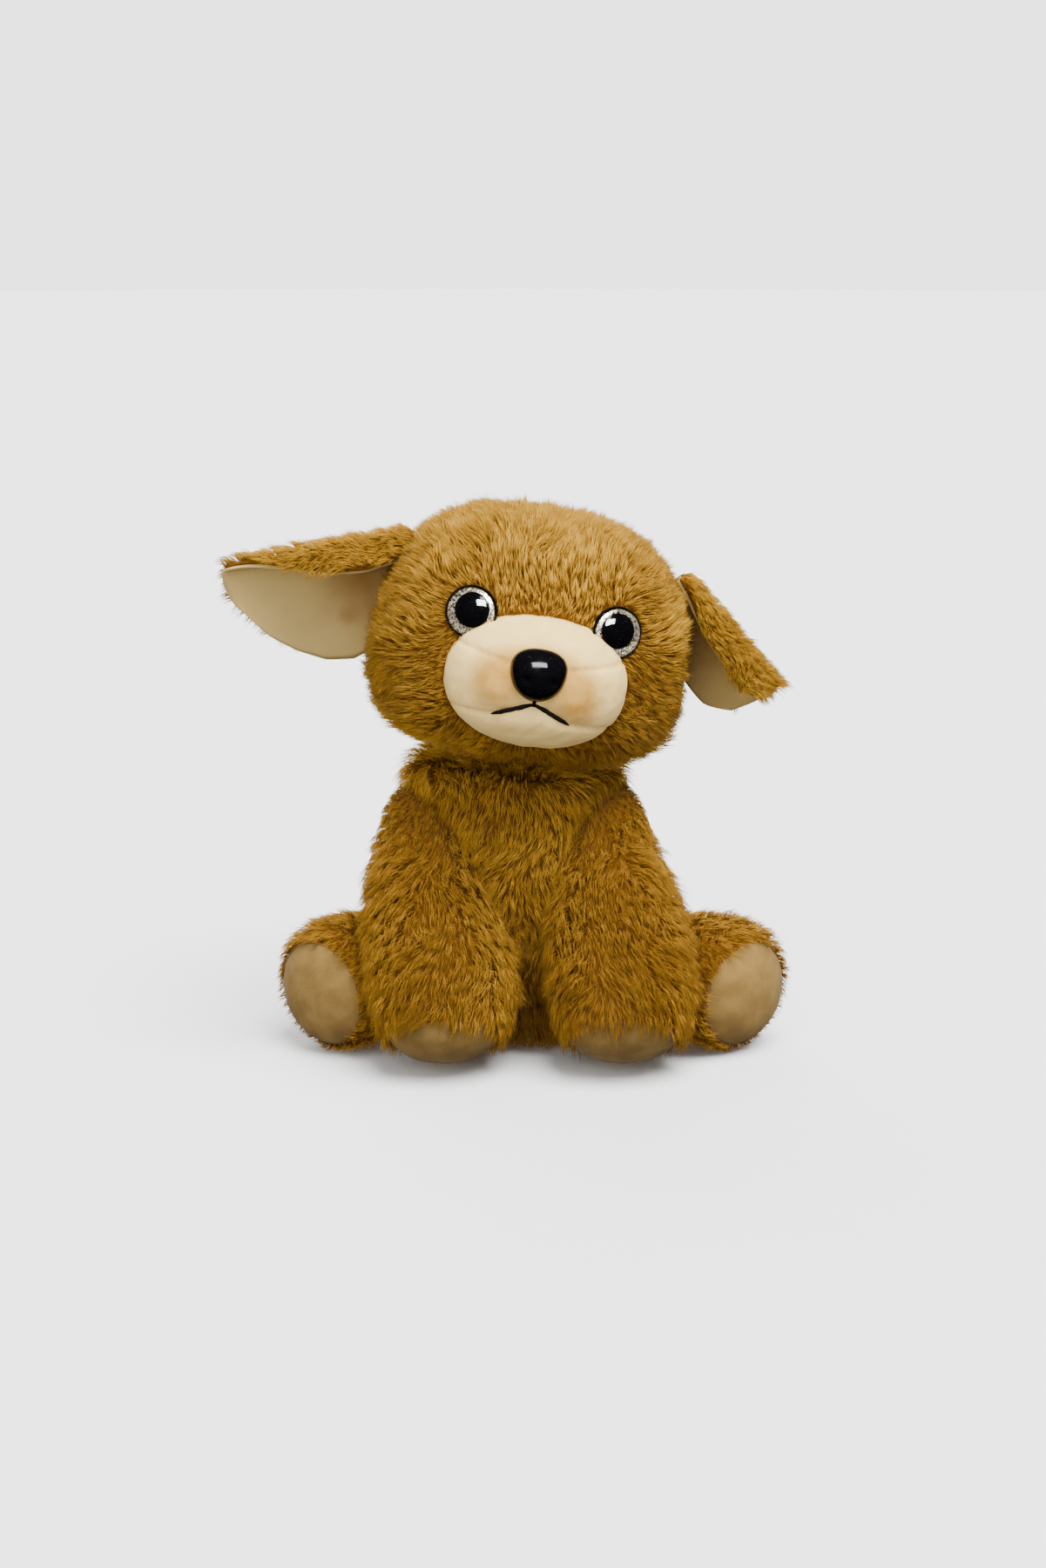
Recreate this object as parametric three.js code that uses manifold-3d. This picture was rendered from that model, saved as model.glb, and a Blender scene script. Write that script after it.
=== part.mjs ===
// A sitting plush dog: sewn pile-fabric covers filled with fibre, moulded safety eyes and nose,
// velour muzzle, ear linings and paw soles. Millimetres, +Z up, the dog faces -Y, its left side is +X.
// The origin is the middle of the flat seat that it sits on.
import * as THREE from 'three';
import { mergeVertices } from 'three/addons/utils/BufferGeometryUtils.js';
import { ConvexGeometry } from 'three/addons/geometries/ConvexGeometry.js';
import Module from 'manifold-3d';

const wasm = await Module();
wasm.setup();

// ---- driving dimensions ----
const GAP = 0.35;           // clear space between pieces that meet
const CLOTH = 2.4;          // thickness of a cover: backing cloth and flattened pile
const FAR = 400;            // half size of a cutting block
const FINEST = 0.06;        // detail that a finished piece may lose
const SLIVER = 0.5;         // detail that a clearance cut may lose
const CLEAR_OF_SWEEP = 1.3; // space left round everything that moves
const MIRROR = [['left', 1], ['right', -1]];

const TORSO = { height: 134, half: 51, depth: 0.92, seatLean: -4, topLean: -32 };
const SEAT_RADIUS = 30;
const SEAT_RISE = 7;        // height at which the seat panel is sewn to the other panels

const BELLY_SEAM = new THREE.Vector3(0, -28, 60);     // the plane that the belly panel ends at
const BELLY_WAY = new THREE.Vector3(0, -1, -0.18);
const BAG_HALF = new THREE.Vector3(27, 25, 12);
const BAG_AT = new THREE.Vector3(0, -2, 19);
const BAG_SLIT = 9;
const BAG_INSET = 3;        // filling left between the pellet bag and the cover

const NECK = new THREE.Vector3(-6, -30, 139);
const HEAD_HALF = new THREE.Vector3(62, 53, 51);
const HEAD_AT = new THREE.Vector3(-2, -5, 40);
const HEAD_SQUARE = 2.7;    // 2 is an ellipsoid, more is boxier
const HEAD_TILT = 9;        // degrees, its left side down
const HEAD_TURN = 4;        // degrees, towards its left
const NOD = 10;
const TILT = 10;
const TURN = 20;
const CROWN_HALF = 21;      // half width of the strip that runs over the head

const MUZZLE_HALF = new THREE.Vector3(38, 34, 28);
const MUZZLE_AT = new THREE.Vector3(-1.5, -47, 30);
const MUZZLE_SQUARE = 2.2;
const MUZZLE_HOLE = 16;     // radius of the opening in the head behind the muzzle
const MOUTH_DROP = 7;       // middle of the mouth below the middle of the muzzle
const MOUTH_HALF = 15.5;
const MOUTH_FALL = 6.6;
const STITCH = { radius: 0.8, lift: 1.15 };
const CHIN_SEAM = 2.5;      // seam of the chin below the ends of the mouth

const EYE_RADIUS = 10.5;
const EYE = { back: 1.4, disc: 9.1, film: 0.6, pupil: 6.9, crown: 6.8, wall: 1.0 };
const EYE_SIDE = 29.6;
const EYE_RISE = 14;        // above the middle of the head
const EYE_SINK = 1.2;       // how far the cloth gives way behind an eye
const NOSE = { width: 25, height: 21, depth: 9, rise: 6.5, aside: -2, sink: 1.9 };
const NOSE_WASHER_BACK = 2; // the nose's washer sits this much deeper than an eye's
const NOSE_SEAT = 12.9;     // radius of the dent that the nose sits in
const POST = { radius: 2.2, length: 13, room: 3.4 };
const WASHER = { radius: 7.5, thick: 1.6, at: -7 };
const NECK_BALL = 14;
const NECK_HOLE = 24;       // radius of the head's opening
const NECK_MOUTH = 10;      // radius of the torso's opening
const GATHERING = { ring: 16.6, tube: 0.8, drop: 6.5 };

const SHOULDER = new THREE.Vector3(37.5, -33, 100);
const FOREPAW = new THREE.Vector3(37.5, -72, 24);
const FORELEG = { root: 18, paw: 26.5, reach: 105, seam: 88, slope: 0, opening: 9 };
const FORELEG_SWING = [0, 40];
const HIP = new THREE.Vector3(44, 8, 28);
const HINDPAW = new THREE.Vector3(90, -46, 29);
const HINDLEG = { root: 19, paw: 27.5, reach: 81, seam: 71, slope: 0.12, opening: 9 };
const HINDLEG_LIFT = [0, 30];
const HINDLEG_SPLAY = 0.7;
const TAIL_ROOT = new THREE.Vector3(0, 37, 27);
const TAIL_WAY = new THREE.Vector3(0, 0.86, 0.5);
const TAIL = { root: 10, paw: 8, reach: 44, opening: 5 };
const TAIL_SWING = [-20, 30];

// The thickness of each leaf, the radius and angle of the fold, and widths below and in front of the ridge.
const EAR = {
  pile: 2.6,
  lining: 1.8,
  ridge: 5.5,
  foldAngle: 150,
  ridgeRise: 15,            // height of the ridge over the middle of the root
  tuck: 12,                 // length of leaf that is trimmed to the side of the head
};
const EARS = {
  left: {
    root: new THREE.Vector3(57, 0, 58),
    hinge: new THREE.Vector3(-0.3, 0, 0.95),
    along: new THREE.Vector3(0.76, -0.05, -0.65),
    pile: new THREE.Vector3(0.34, 0.72, 0.6),
    length: 62,
    hang: [24, 32, 38, 40, 39, 36, 30, 20],
    flap: [20, 23, 24, 24, 24, 22, 19, 14],
  },
  right: {
    root: new THREE.Vector3(-62.5, 0, 55),
    hinge: new THREE.Vector3(0.25, 0, 0.97),
    along: new THREE.Vector3(-0.947, -0.03, -0.32),
    pile: new THREE.Vector3(0, 0.95, 0.3),
    length: 68,
    hang: [32, 40, 45, 46, 43, 36, 25, 12],
    flap: [17, 19, 20, 19, 17, 14, 10, 6],
  },
};
const EAR_SWING = [-25, 25];

// ---- materials ----
const finish = (color, roughness, extra = {}) =>
  new THREE.MeshStandardMaterial({ color, roughness, metalness: 0, ...extra });
const PILE = finish(0xb07c2c, 0.95);
const VELOUR = finish(0xdcc294, 0.9);
const SOLE = finish(0xb8965c, 0.9);
const FILLING = finish(0xf2f0ea, 1.0);
const PELLETS = finish(0xd8d8d2, 0.8);
const THREAD = finish(0x15120f, 0.8);
const SEAM_THREAD = finish(0x8a6224, 0.8);
const BLACK = finish(0x050505, 0.12);
const GLITTER = finish(0xcfc6b0, 0.35, { metalness: 0.7 });
const CLEAR = finish(0xffffff, 0.05, { transparent: true, opacity: 0.3 });
const PLAIN = finish(0xe6e6e0, 0.5);

// ---- solids and geometries ----
function bare(geometry) {
  const plain = new THREE.BufferGeometry();
  const source = geometry.index ? geometry.toNonIndexed() : geometry;
  plain.setAttribute('position', source.getAttribute('position').clone());
  return mergeVertices(plain, 1e-4);
}

function solid(geometry, matrix = new THREE.Matrix4()) {
  const merged = bare(geometry).applyMatrix4(matrix);
  return new wasm.Manifold(new wasm.Mesh({
    numProp: 3,
    vertProperties: merged.attributes.position.array,
    triVerts: new Uint32Array(merged.index.array),
  }));
}

function geometryOf(body) {
  const mesh = body.getMesh();
  const geometry = new THREE.BufferGeometry();
  geometry.setAttribute('position', new THREE.BufferAttribute(new Float32Array(mesh.vertProperties), 3));
  geometry.setIndex(new THREE.BufferAttribute(new Uint32Array(mesh.triVerts), 1));
  return geometry;
}

// The largest body that a cut leaves.
function largest(body) {
  const bodies = body.decompose();
  return bodies.reduce((best, next) => (next.volume() > best.volume() ? next : best));
}

function meshOf(name, body, material) {
  const mesh = new THREE.Mesh(geometryOf(largest(body).simplify(FINEST)), material);
  mesh.name = name;
  return mesh;
}

// A block whose one face is at the origin of the matrix and which fills the side that +Z points to.
function halfSpace(point, direction) {
  const upward = new THREE.Vector3(0, 0, 1);
  const turn = new THREE.Quaternion().setFromUnitVectors(upward, direction.clone().normalize());
  const matrix = new THREE.Matrix4().compose(point, turn, new THREE.Vector3(1, 1, 1));
  const block = new THREE.BoxGeometry(2 * FAR, 2 * FAR, FAR).translate(0, 0, FAR / 2);
  return solid(block, matrix);
}

function boxFrom(low, high) {
  const size = high.clone().sub(low);
  const middle = low.clone().add(high).multiplyScalar(0.5);
  return solid(new THREE.BoxGeometry(size.x, size.y, size.z).translate(middle.x, middle.y, middle.z));
}

// A unit direction pushed out to a rounded box with these half sizes.
function onSquircle(direction, half, square) {
  const { x, y, z } = direction;
  const norm = (Math.abs(x) ** square + Math.abs(y) ** square + Math.abs(z) ** square) ** (1 / square);
  return new THREE.Vector3(x * half.x, y * half.y, z * half.z).divideScalar(norm);
}

function mapVertices(geometry, move) {
  const position = geometry.attributes.position;
  const vertex = new THREE.Vector3();
  for (let i = 0; i < position.count; i += 1) {
    vertex.fromBufferAttribute(position, i);
    move(vertex);
    position.setXYZ(i, vertex.x, vertex.y, vertex.z);
  }
  return geometry;
}

function squircle(half, square, around, down) {
  const ball = bare(new THREE.SphereGeometry(1, around, down));
  return mapVertices(ball, (v) => v.copy(onSquircle(v.clone().normalize(), half, square)));
}

function lathe(points, around) {
  return new THREE.LatheGeometry(points.map(([r, h]) => new THREE.Vector2(r, h)), around);
}

function tube(points, radius, sides, steps) {
  const section = new THREE.Shape().absarc(0, 0, radius, 0, 2 * Math.PI);
  const path = new THREE.CatmullRomCurve3(points);
  return new THREE.ExtrudeGeometry(section, {
    steps, curveSegments: sides, bevelEnabled: false, extrudePath: path,
  });
}

// The convex outer shape of points in their own frame at several placements, without its slivers.
function hullOf(points, matrices) {
  const placed = matrices.flatMap((m) => points.map((p) => p.clone().applyMatrix4(m)));
  return solid(new ConvexGeometry(placed)).simplify(SLIVER);
}

function verticesOf(geometry) {
  const position = geometry.attributes.position;
  const vertex = (_, i) => new THREE.Vector3().fromBufferAttribute(position, i);
  return Array.from({ length: position.count }, vertex);
}

const degrees = THREE.MathUtils.degToRad;
const between = ([low, high], steps) =>
  Array.from({ length: steps + 1 }, (_, i) => low + ((high - low) * i) / steps);

// ---- limbs: a turned profile along +Y of the limb's own frame, whose origin is its pivot ----
// Each profile row is [radius, distance from the pivot].
function limbFrame(pivot, tip) {
  const along = tip.clone().sub(pivot).normalize();
  const side = new THREE.Vector3(0, 0, 1).cross(along).normalize();
  const up = side.clone().cross(along).normalize();
  const turn = new THREE.Matrix4().makeBasis(side, along, up);
  return new THREE.Matrix4().makeTranslation(pivot.x, pivot.y, pivot.z).multiply(turn);
}

// A bulb: a ball at the pivot that widens to a rounded paw whose last point is at reach.
function limbProfile(root, paw, reach, grow = 0) {
  const steps = 4;
  const inner = root + grow;
  const outer = paw + grow;
  const profile = [];
  for (let i = 0; i <= steps; i += 1) {
    const angle = -Math.PI / 2 + (i / steps) * (Math.PI / 2);
    profile.push([i ? inner * Math.cos(angle) : 0, inner * Math.sin(angle)]);
  }
  const bulge = reach + grow - outer * 0.72;
  for (let i = 1; i < 4; i += 1) {
    const share = i / 4;
    const ease = share * share * (3 - 2 * share);
    profile.push([inner + (outer - inner) * ease, bulge * share]);
  }
  for (let i = 0; i <= steps; i += 1) {
    const angle = (i / steps) * (Math.PI / 2);
    profile.push([i < steps ? outer * Math.cos(angle) ** 0.8 : 0, bulge + outer * 0.72 * Math.sin(angle)]);
  }
  return profile;
}

// The cover, filling and sole of one leg, in the leg's own frame. The ground cuts off what is below it.
function makeLimb(name, { root, paw, reach, seam, slope, opening }, frame) {
  const group = new THREE.Group();
  frame.decompose(group.position, group.quaternion, group.scale);
  const toLocal = frame.clone().invert();
  const floor = (lift) => {
    const point = new THREE.Vector3(0, 0, lift).applyMatrix4(toLocal);
    const down = new THREE.Vector3(0, 0, -1).transformDirection(toLocal);
    return halfSpace(point, down);
  };
  const shape = (grow) => {
    const bulb = lathe(limbProfile(root, paw, reach, grow), 16);
    return solid(bulb).subtract(floor(Math.max(-grow, 0)));
  };
  const seamPlane = (shift) =>
    halfSpace(new THREE.Vector3(0, seam + shift, 0), new THREE.Vector3(0, 1, slope).normalize());
  const shell = shape(0).subtract(shape(-CLOTH));
  const mouth = solid(new THREE.CylinderGeometry(opening, opening, 2 * root, 18).translate(0, -root, 0));
  const cover = shell.subtract(seamPlane(-GAP)).subtract(mouth);
  const sole = shell.intersect(seamPlane(0));
  const filling = shape(-CLOTH - GAP);
  group.add(meshOf(`${name}_cover`, cover, PILE));
  group.add(meshOf(`${name}_filling`, filling, FILLING));
  group.add(meshOf(`${name}_sole`, sole, SOLE));
  return group;
}

const sideways = (v, side) => new THREE.Vector3(v.x * side, v.y, v.z);
const foreFrame = (side) => limbFrame(sideways(SHOULDER, side), sideways(FOREPAW, side));
const hindFrame = (side) => limbFrame(sideways(HIP, side), sideways(HINDPAW, side));

// Placements of a limb as it swings about an axis through its pivot.
function swings(frame, axis, range, steps = 3) {
  const pivot = new THREE.Vector3().setFromMatrixPosition(frame);
  const back = new THREE.Matrix4().makeTranslation(-pivot.x, -pivot.y, -pivot.z);
  const there = new THREE.Matrix4().makeTranslation(pivot.x, pivot.y, pivot.z);
  return between(range, steps).map((angle) => {
    const turn = new THREE.Matrix4().makeRotationAxis(axis, degrees(angle));
    return there.clone().multiply(turn).multiply(back).multiply(frame);
  });
}

function limbSweep({ root, paw, reach }, grow, placements) {
  const points = verticesOf(bare(lathe(limbProfile(root, paw, reach, grow), 12)));
  return hullOf(points, placements);
}

// The leg swings forward about the line through both shoulders.
const foreAxis = new THREE.Vector3(-1, 0, 0);
// The hind leg lifts about a line across it that leans, so that the foot also swings outwards.
const hindAxis = (side) => {
  const along = sideways(HINDPAW, side).sub(sideways(HIP, side)).setZ(0).normalize();
  return along.cross(new THREE.Vector3(0, 0, 1)).setZ(side * HINDLEG_SPLAY).normalize();
};

// ---- head frame ----
const headTurn = new THREE.Euler(0, degrees(HEAD_TILT), degrees(HEAD_TURN), 'ZYX');
const headFrame = new THREE.Matrix4().makeRotationFromEuler(headTurn).setPosition(NECK);

function headShape(grow, around = 24, down = 16) {
  const half = HEAD_HALF.clone().addScalar(grow);
  const shape = squircle(half, HEAD_SQUARE, around, down);
  mapVertices(shape, (v) => v.setX(v.x * (1 - 0.07 * (v.z / half.z))));
  return shape.translate(HEAD_AT.x, HEAD_AT.y, HEAD_AT.z);
}

function muzzleShape(grow, around = 20, down = 12) {
  const half = MUZZLE_HALF.clone().addScalar(grow);
  return squircle(half, MUZZLE_SQUARE, around, down).translate(MUZZLE_AT.x, MUZZLE_AT.y, MUZZLE_AT.z);
}

// The point of the muzzle's surface straight in front of (x, z), and its outward direction.
function onMuzzle(x, z, lift = 0) {
  const u = Math.abs((x - MUZZLE_AT.x) / MUZZLE_HALF.x) ** MUZZLE_SQUARE;
  const w = Math.abs((z - MUZZLE_AT.z) / MUZZLE_HALF.z) ** MUZZLE_SQUARE;
  const v = Math.max(1 - u - w, 0) ** (1 / MUZZLE_SQUARE);
  const point = new THREE.Vector3(x, MUZZLE_AT.y - MUZZLE_HALF.y * v, z);
  const power = MUZZLE_SQUARE - 1;
  const slopeOf = (at, half) => (Math.sign(at) * Math.abs(at / half) ** power) / half;
  const normal = new THREE.Vector3(
    slopeOf(x - MUZZLE_AT.x, MUZZLE_HALF.x),
    slopeOf(point.y - MUZZLE_AT.y, MUZZLE_HALF.y),
    slopeOf(z - MUZZLE_AT.z, MUZZLE_HALF.z),
  ).normalize();
  return { point: point.addScaledVector(normal, lift), normal };
}

// The placement of a safety eye: its back rests on the head, its own +Z looks out.
function eyeFrame(side) {
  const way = new THREE.Vector3(side * EYE_SIDE / HEAD_HALF.x, -1, EYE_RISE / HEAD_HALF.z);
  let low = 0;
  let high = 2;
  for (let i = 0; i < 30; i += 1) {
    const y = (low + high) / 2;
    const sum = Math.abs(way.x) ** HEAD_SQUARE + y ** HEAD_SQUARE + Math.abs(way.z) ** HEAD_SQUARE;
    if (sum > 1) high = y;
    else low = y;
  }
  const point = new THREE.Vector3(way.x, -low, way.z).multiply(HEAD_HALF).add(HEAD_AT);
  const out = new THREE.Vector3(side * 0.3, -0.94, 0.12).normalize();
  const turn = new THREE.Quaternion().setFromUnitVectors(new THREE.Vector3(0, 0, 1), out);
  point.addScaledVector(out, -EYE_SINK);
  return new THREE.Matrix4().compose(point, turn, new THREE.Vector3(1, 1, 1));
}

// The placement of the nose button, whose own +Z looks out.
function noseFrame() {
  const { point, normal } = onMuzzle(MUZZLE_AT.x + NOSE.aside, MUZZLE_AT.z + NOSE.rise, -NOSE.sink);
  const turn = new THREE.Matrix4().lookAt(normal, new THREE.Vector3(), new THREE.Vector3(0, 0, 1));
  return turn.setPosition(point);
}

const quarterTurn = new THREE.Matrix4().makeRotationX(Math.PI / 2);   // a lathe's +Y to +Z

function turned(points, around = 18) {
  return lathe(points, around).applyMatrix4(quarterTurn);
}

// A stem with two barbs and the face that backs the moulding.
function postProfile(face, thick) {
  const profile = [[0, -POST.length], [POST.radius * 0.6, -POST.length]];
  for (let i = 0; i < 2; i += 1) {
    const start = -POST.length + 1.5 + i * 3;
    profile.push([POST.radius, start], [POST.radius * 0.75, start + 0.4]);
  }
  profile.push([POST.radius, -1.5], [POST.radius, 0], [face, 0], [face, thick], [0, thick]);
  return profile;
}

function washerProfile() {
  const { radius, thick } = WASHER;
  const inner = POST.radius + GAP;
  const rim = [radius, thick * 0.6];
  return [[inner, 0], [radius, 0], rim, [inner + thick, thick], [inner, thick], [inner, 0]];
}

function domeProfile(radius, rim, crown, wall) {
  const steps = 5;
  const outside = [];
  const inside = [];
  for (let i = 0; i <= steps; i += 1) {
    const angle = (i / steps) * (Math.PI / 2);
    const reach = i < steps ? Math.cos(angle) : 0;
    outside.push([radius * reach, rim + (crown - rim) * Math.sin(angle)]);
    inside.push([(radius - wall) * reach, rim + (crown - rim - wall) * Math.sin(angle)]);
  }
  return [...outside, ...inside.reverse(), outside[0]];
}

// Room for the whole moulding of an eye in front of the cloth that it is set in.
function eyeRoom(side, behind) {
  const radius = EYE_RADIUS + 0.8;
  return solid(turned([[0, -behind], [radius, -behind], [radius, 20], [0, 20]]), eyeFrame(side));
}

function makeEye(name, side) {
  const group = new THREE.Group();
  eyeFrame(side).decompose(group.position, group.quaternion, group.scale);
  const piece = (part, geometry, material) =>
    group.add(meshOf(`${name}_${part}`, solid(geometry), material));
  piece('post', turned(postProfile(EYE_RADIUS - 0.3, EYE.back)), BLACK);
  const disc = EYE.back + GAP;
  const film = disc + EYE.film;
  piece('glitter_disc', turned([[0, disc], [EYE.disc, disc], [EYE.disc, film], [0, film]]), GLITTER);
  const pupil = film + GAP;
  const edge = pupil + EYE.film;
  piece('pupil', turned([[0, pupil], [EYE.pupil, pupil], [EYE.pupil * 0.9, edge], [0, edge + 0.3]]), BLACK);
  piece('dome', turned(domeProfile(EYE_RADIUS, disc, EYE.crown, EYE.wall)), CLEAR);
  const washer = turned(washerProfile()).translate(0, 0, WASHER.at);
  piece('washer', washer, PLAIN);
  return group;
}

// A rounded triangle, wide at the top, that bulges out of a flat back.
function noseShape() {
  const half = new THREE.Vector3(NOSE.width / 2, NOSE.height / 2, NOSE.depth);
  const shape = mapVertices(squircle(half, 2.3, 18, 12), (v) => {
    const drop = (v.y / half.y + 1) / 2;
    v.setX(v.x * (0.6 + 0.4 * Math.sqrt(drop)));
  });
  return solid(shape).subtract(halfSpace(new THREE.Vector3(), new THREE.Vector3(0, 0, -1)));
}

function makeNose() {
  const group = new THREE.Group();
  noseFrame().decompose(group.position, group.quaternion, group.scale);
  const stem = solid(turned(postProfile(POST.radius + 1.5, 0.5)));
  group.add(meshOf('nose_button', noseShape().add(stem), BLACK));
  const washer = turned(washerProfile()).translate(0, 0, WASHER.at - NOSE_WASHER_BACK);
  group.add(meshOf('nose_washer', solid(washer), PLAIN));
  return group;
}

// Room for a post and its washer, in the frame of the moulding.
function postRoom(frame) {
  const end = -POST.length - 1;
  const stem = turned([[0, end], [POST.room, end], [POST.room, 3], [0, 3]], 10);
  const low = WASHER.at - NOSE_WASHER_BACK - GAP;
  const high = WASHER.at + WASHER.thick + GAP;
  const wide = WASHER.radius + 0.9;
  const ring = turned([[0, low], [wide, low], [wide, high], [0, high]], 12);
  return solid(stem, frame).add(solid(ring, frame));
}

// ---- muzzle ----
function mouthStitching() {
  const stitch = (list) =>
    solid(tube(list.map(([x, z]) => onMuzzle(x, z, STITCH.lift).point), STITCH.radius, 5, 6));
  const x = MUZZLE_AT.x + NOSE.aside;
  const z = MUZZLE_AT.z - MOUTH_DROP;
  const strokes = MIRROR.map(([, side]) =>
    stitch([[x - side * 0.4, z + 0.2], [x + side * MOUTH_HALF * 0.55, z - MOUTH_FALL * 0.42],
      [x + side * MOUTH_HALF, z - MOUTH_FALL]]));
  const upright = stitch([[x, z - 0.6], [x, z + 1], [x, z + 2.3]]);
  return strokes.reduce((all, next) => all.add(next), upright);
}

// ---- ears: a leaf of pile fabric and a leaf of velour, folded forward along a ridge ----
// In an ear's own frame +X runs from its root to its tip, +Y is the pile side and Z lies across it.
function tableAt(table, share) {
  const place = Math.min(Math.max(share, 0), 1) * (table.length - 1);
  const before = Math.min(Math.floor(place), table.length - 2);
  return THREE.MathUtils.lerp(table[before], table[before + 1], place - before);
}

// Lays a point of the flat leaf, across of its ridge and off its middle surface, round the fold.
function foldOver(across, off) {
  const angle = Math.min(Math.max(across / EAR.ridge, 0), degrees(EAR.foldAngle));
  const rest = across > 0 ? across - EAR.ridge * angle : across;
  const up = (EAR.ridge + off) * Math.sin(angle) + rest * Math.cos(angle);
  const out = (EAR.ridge + off) * Math.cos(angle) - EAR.ridge - rest * Math.sin(angle);
  return [up, out];
}

function earLeaf(thick, layer, side, { length, hang, flap }) {
  const sheet = bare(new THREE.BoxGeometry(1, 1, 2, 8, 1, 10));
  mapVertices(sheet, (v) => {
    const share = v.x + 0.5;
    const width = tableAt(v.z < 0 ? hang : flap, share);
    const thin = thick * (1 - 0.5 * v.z ** 6);
    const off = layer * (v.y < 0 ? GAP / 2 : thin);
    const [up, out] = foldOver(v.z * width, off);
    v.set(THREE.MathUtils.lerp(-EAR.tuck, length, share), out, side * (up + EAR.ridgeRise));
  });
  if (layer * side < 0) sheet.index.array.reverse();
  return solid(sheet);
}

function earFrame({ root, along, pile }) {
  const x = along.clone().normalize();
  const y = pile.clone().addScaledVector(x, -pile.dot(x)).normalize();
  return new THREE.Matrix4().makeBasis(x, y, x.clone().cross(y)).setPosition(root);
}

// What the head takes up in an ear's frame as the ear swings about the line it is sewn along.
function headBesideEar(frame, hinge) {
  const placements = swings(frame, hinge.clone().normalize(), EAR_SWING, 2).map((m) => m.invert());
  return hullOf(verticesOf(headShape(1.1, 18, 12)), placements);
}

function makeEar(name, side) {
  const group = new THREE.Group();
  const spec = EARS[name];
  const frame = earFrame(spec);
  frame.decompose(group.position, group.quaternion, group.scale);
  const taken = headBesideEar(frame, spec.hinge);
  const leaf = (thick, layer) => earLeaf(thick, layer, side, spec).subtract(taken);
  group.add(meshOf(`${name}_ear_pile`, leaf(EAR.pile, 1), PILE));
  group.add(meshOf(`${name}_ear_lining`, leaf(EAR.lining, -1), VELOUR));
  return group;
}

// ---- head ----
function makeHead() {
  const group = new THREE.Group();
  headFrame.decompose(group.position, group.quaternion, group.scale);
  const outer = solid(headShape(0));
  const hole = (radius, from, to) => {
    const length = to.distanceTo(from);
    const cylinder = new THREE.CylinderGeometry(radius, radius, length, 18).translate(0, length / 2, 0);
    const turn = new THREE.Quaternion().setFromUnitVectors(
      new THREE.Vector3(0, 1, 0), to.clone().sub(from).normalize());
    return solid(cylinder, new THREE.Matrix4().compose(from, turn, new THREE.Vector3(1, 1, 1)));
  };
  const posts = postRoom(eyeFrame(1)).add(postRoom(eyeFrame(-1)));
  const noseSeat = turned([[0, -GAP], [NOSE_SEAT, -GAP], [NOSE_SEAT, 20], [0, 20]]);
  const noseRoom = postRoom(noseFrame()).add(solid(noseSeat, noseFrame()));
  const eyeRooms = (behind) => eyeRoom(1, behind).add(eyeRoom(-1, behind));
  const muzzleMouth = hole(MUZZLE_HOLE, MUZZLE_AT.clone().setY(-20), MUZZLE_AT.clone().setY(-90));
  const neckMouth = hole(NECK_HOLE, new THREE.Vector3(0, 0, -1), new THREE.Vector3(0, 0, -30));
  const shell = outer.subtract(solid(headShape(-CLOTH))).subtract(muzzleMouth).subtract(neckMouth)
    .subtract(posts).subtract(eyeRooms(GAP));

  // The crown panel runs from between the eyes over the head and down its back.
  const crownBlock = (grow) => {
    const half = CROWN_HALF + grow;
    const high = new THREE.Vector3(half, FAR, FAR);
    const over = boxFrom(new THREE.Vector3(-half, -FAR, HEAD_AT.z), high);
    return over.add(boxFrom(new THREE.Vector3(-half, 0, -FAR), high));
  };
  const crown = shell.intersect(crownBlock(0));
  const rest = shell.subtract(crownBlock(GAP));
  group.add(meshOf('head_crown_panel', crown, PILE));
  for (const [name, side] of MIRROR) {
    const half = halfSpace(new THREE.Vector3(side * GAP / 2, 0, 0), new THREE.Vector3(side, 0, 0));
    group.add(meshOf(`head_${name}_panel`, rest.intersect(half), PILE));
  }
  const socket = solid(new THREE.SphereGeometry(NECK_BALL + GAP, 18, 12));
  const filling = solid(headShape(-CLOTH - GAP)).subtract(posts).subtract(socket).subtract(neckMouth);
  group.add(meshOf('head_filling', filling, FILLING));

  const clearOfHead = solid(headShape(GAP));
  const taken = clearOfHead.add(noseRoom).add(eyeRooms(2));
  const muzzle = solid(muzzleShape(0)).subtract(solid(muzzleShape(-CLOTH))).subtract(taken);
  const seam = MUZZLE_AT.z - MOUTH_DROP - MOUTH_FALL - CHIN_SEAM;
  const chinSide = halfSpace(new THREE.Vector3(0, 0, seam), new THREE.Vector3(0, 0, -1));
  const lipSide = halfSpace(new THREE.Vector3(0, 0, seam + GAP), new THREE.Vector3(0, 0, 1));
  group.add(meshOf('muzzle_cover', muzzle.intersect(lipSide), VELOUR));
  group.add(meshOf('chin_cover', muzzle.intersect(chinSide), VELOUR));
  const stuffed = solid(muzzleShape(-CLOTH - GAP)).subtract(taken);
  group.add(meshOf('muzzle_filling', stuffed, FILLING));
  group.add(meshOf('mouth_stitching', mouthStitching(), THREAD));
  group.add(makeNose());
  for (const [name, side] of MIRROR) {
    group.add(makeEye(`${name}_eye`, side));
    group.add(makeEar(name, side));
  }
  return group;
}

// ---- neck: a ball of filling and the thread that draws the neck closed, both centred on the pivot ----
function makeNeck() {
  const group = new THREE.Group();
  headFrame.decompose(group.position, group.quaternion, group.scale);
  group.add(meshOf('neck_filling', solid(new THREE.SphereGeometry(NECK_BALL, 18, 12)), FILLING));
  const { ring, tube: thick, drop } = GATHERING;
  const thread = new THREE.TorusGeometry(ring, thick, 6, 24).translate(0, 0, -drop);
  group.add(meshOf('neck_gathering_thread', solid(thread), SEAM_THREAD));
  return group;
}

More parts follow.
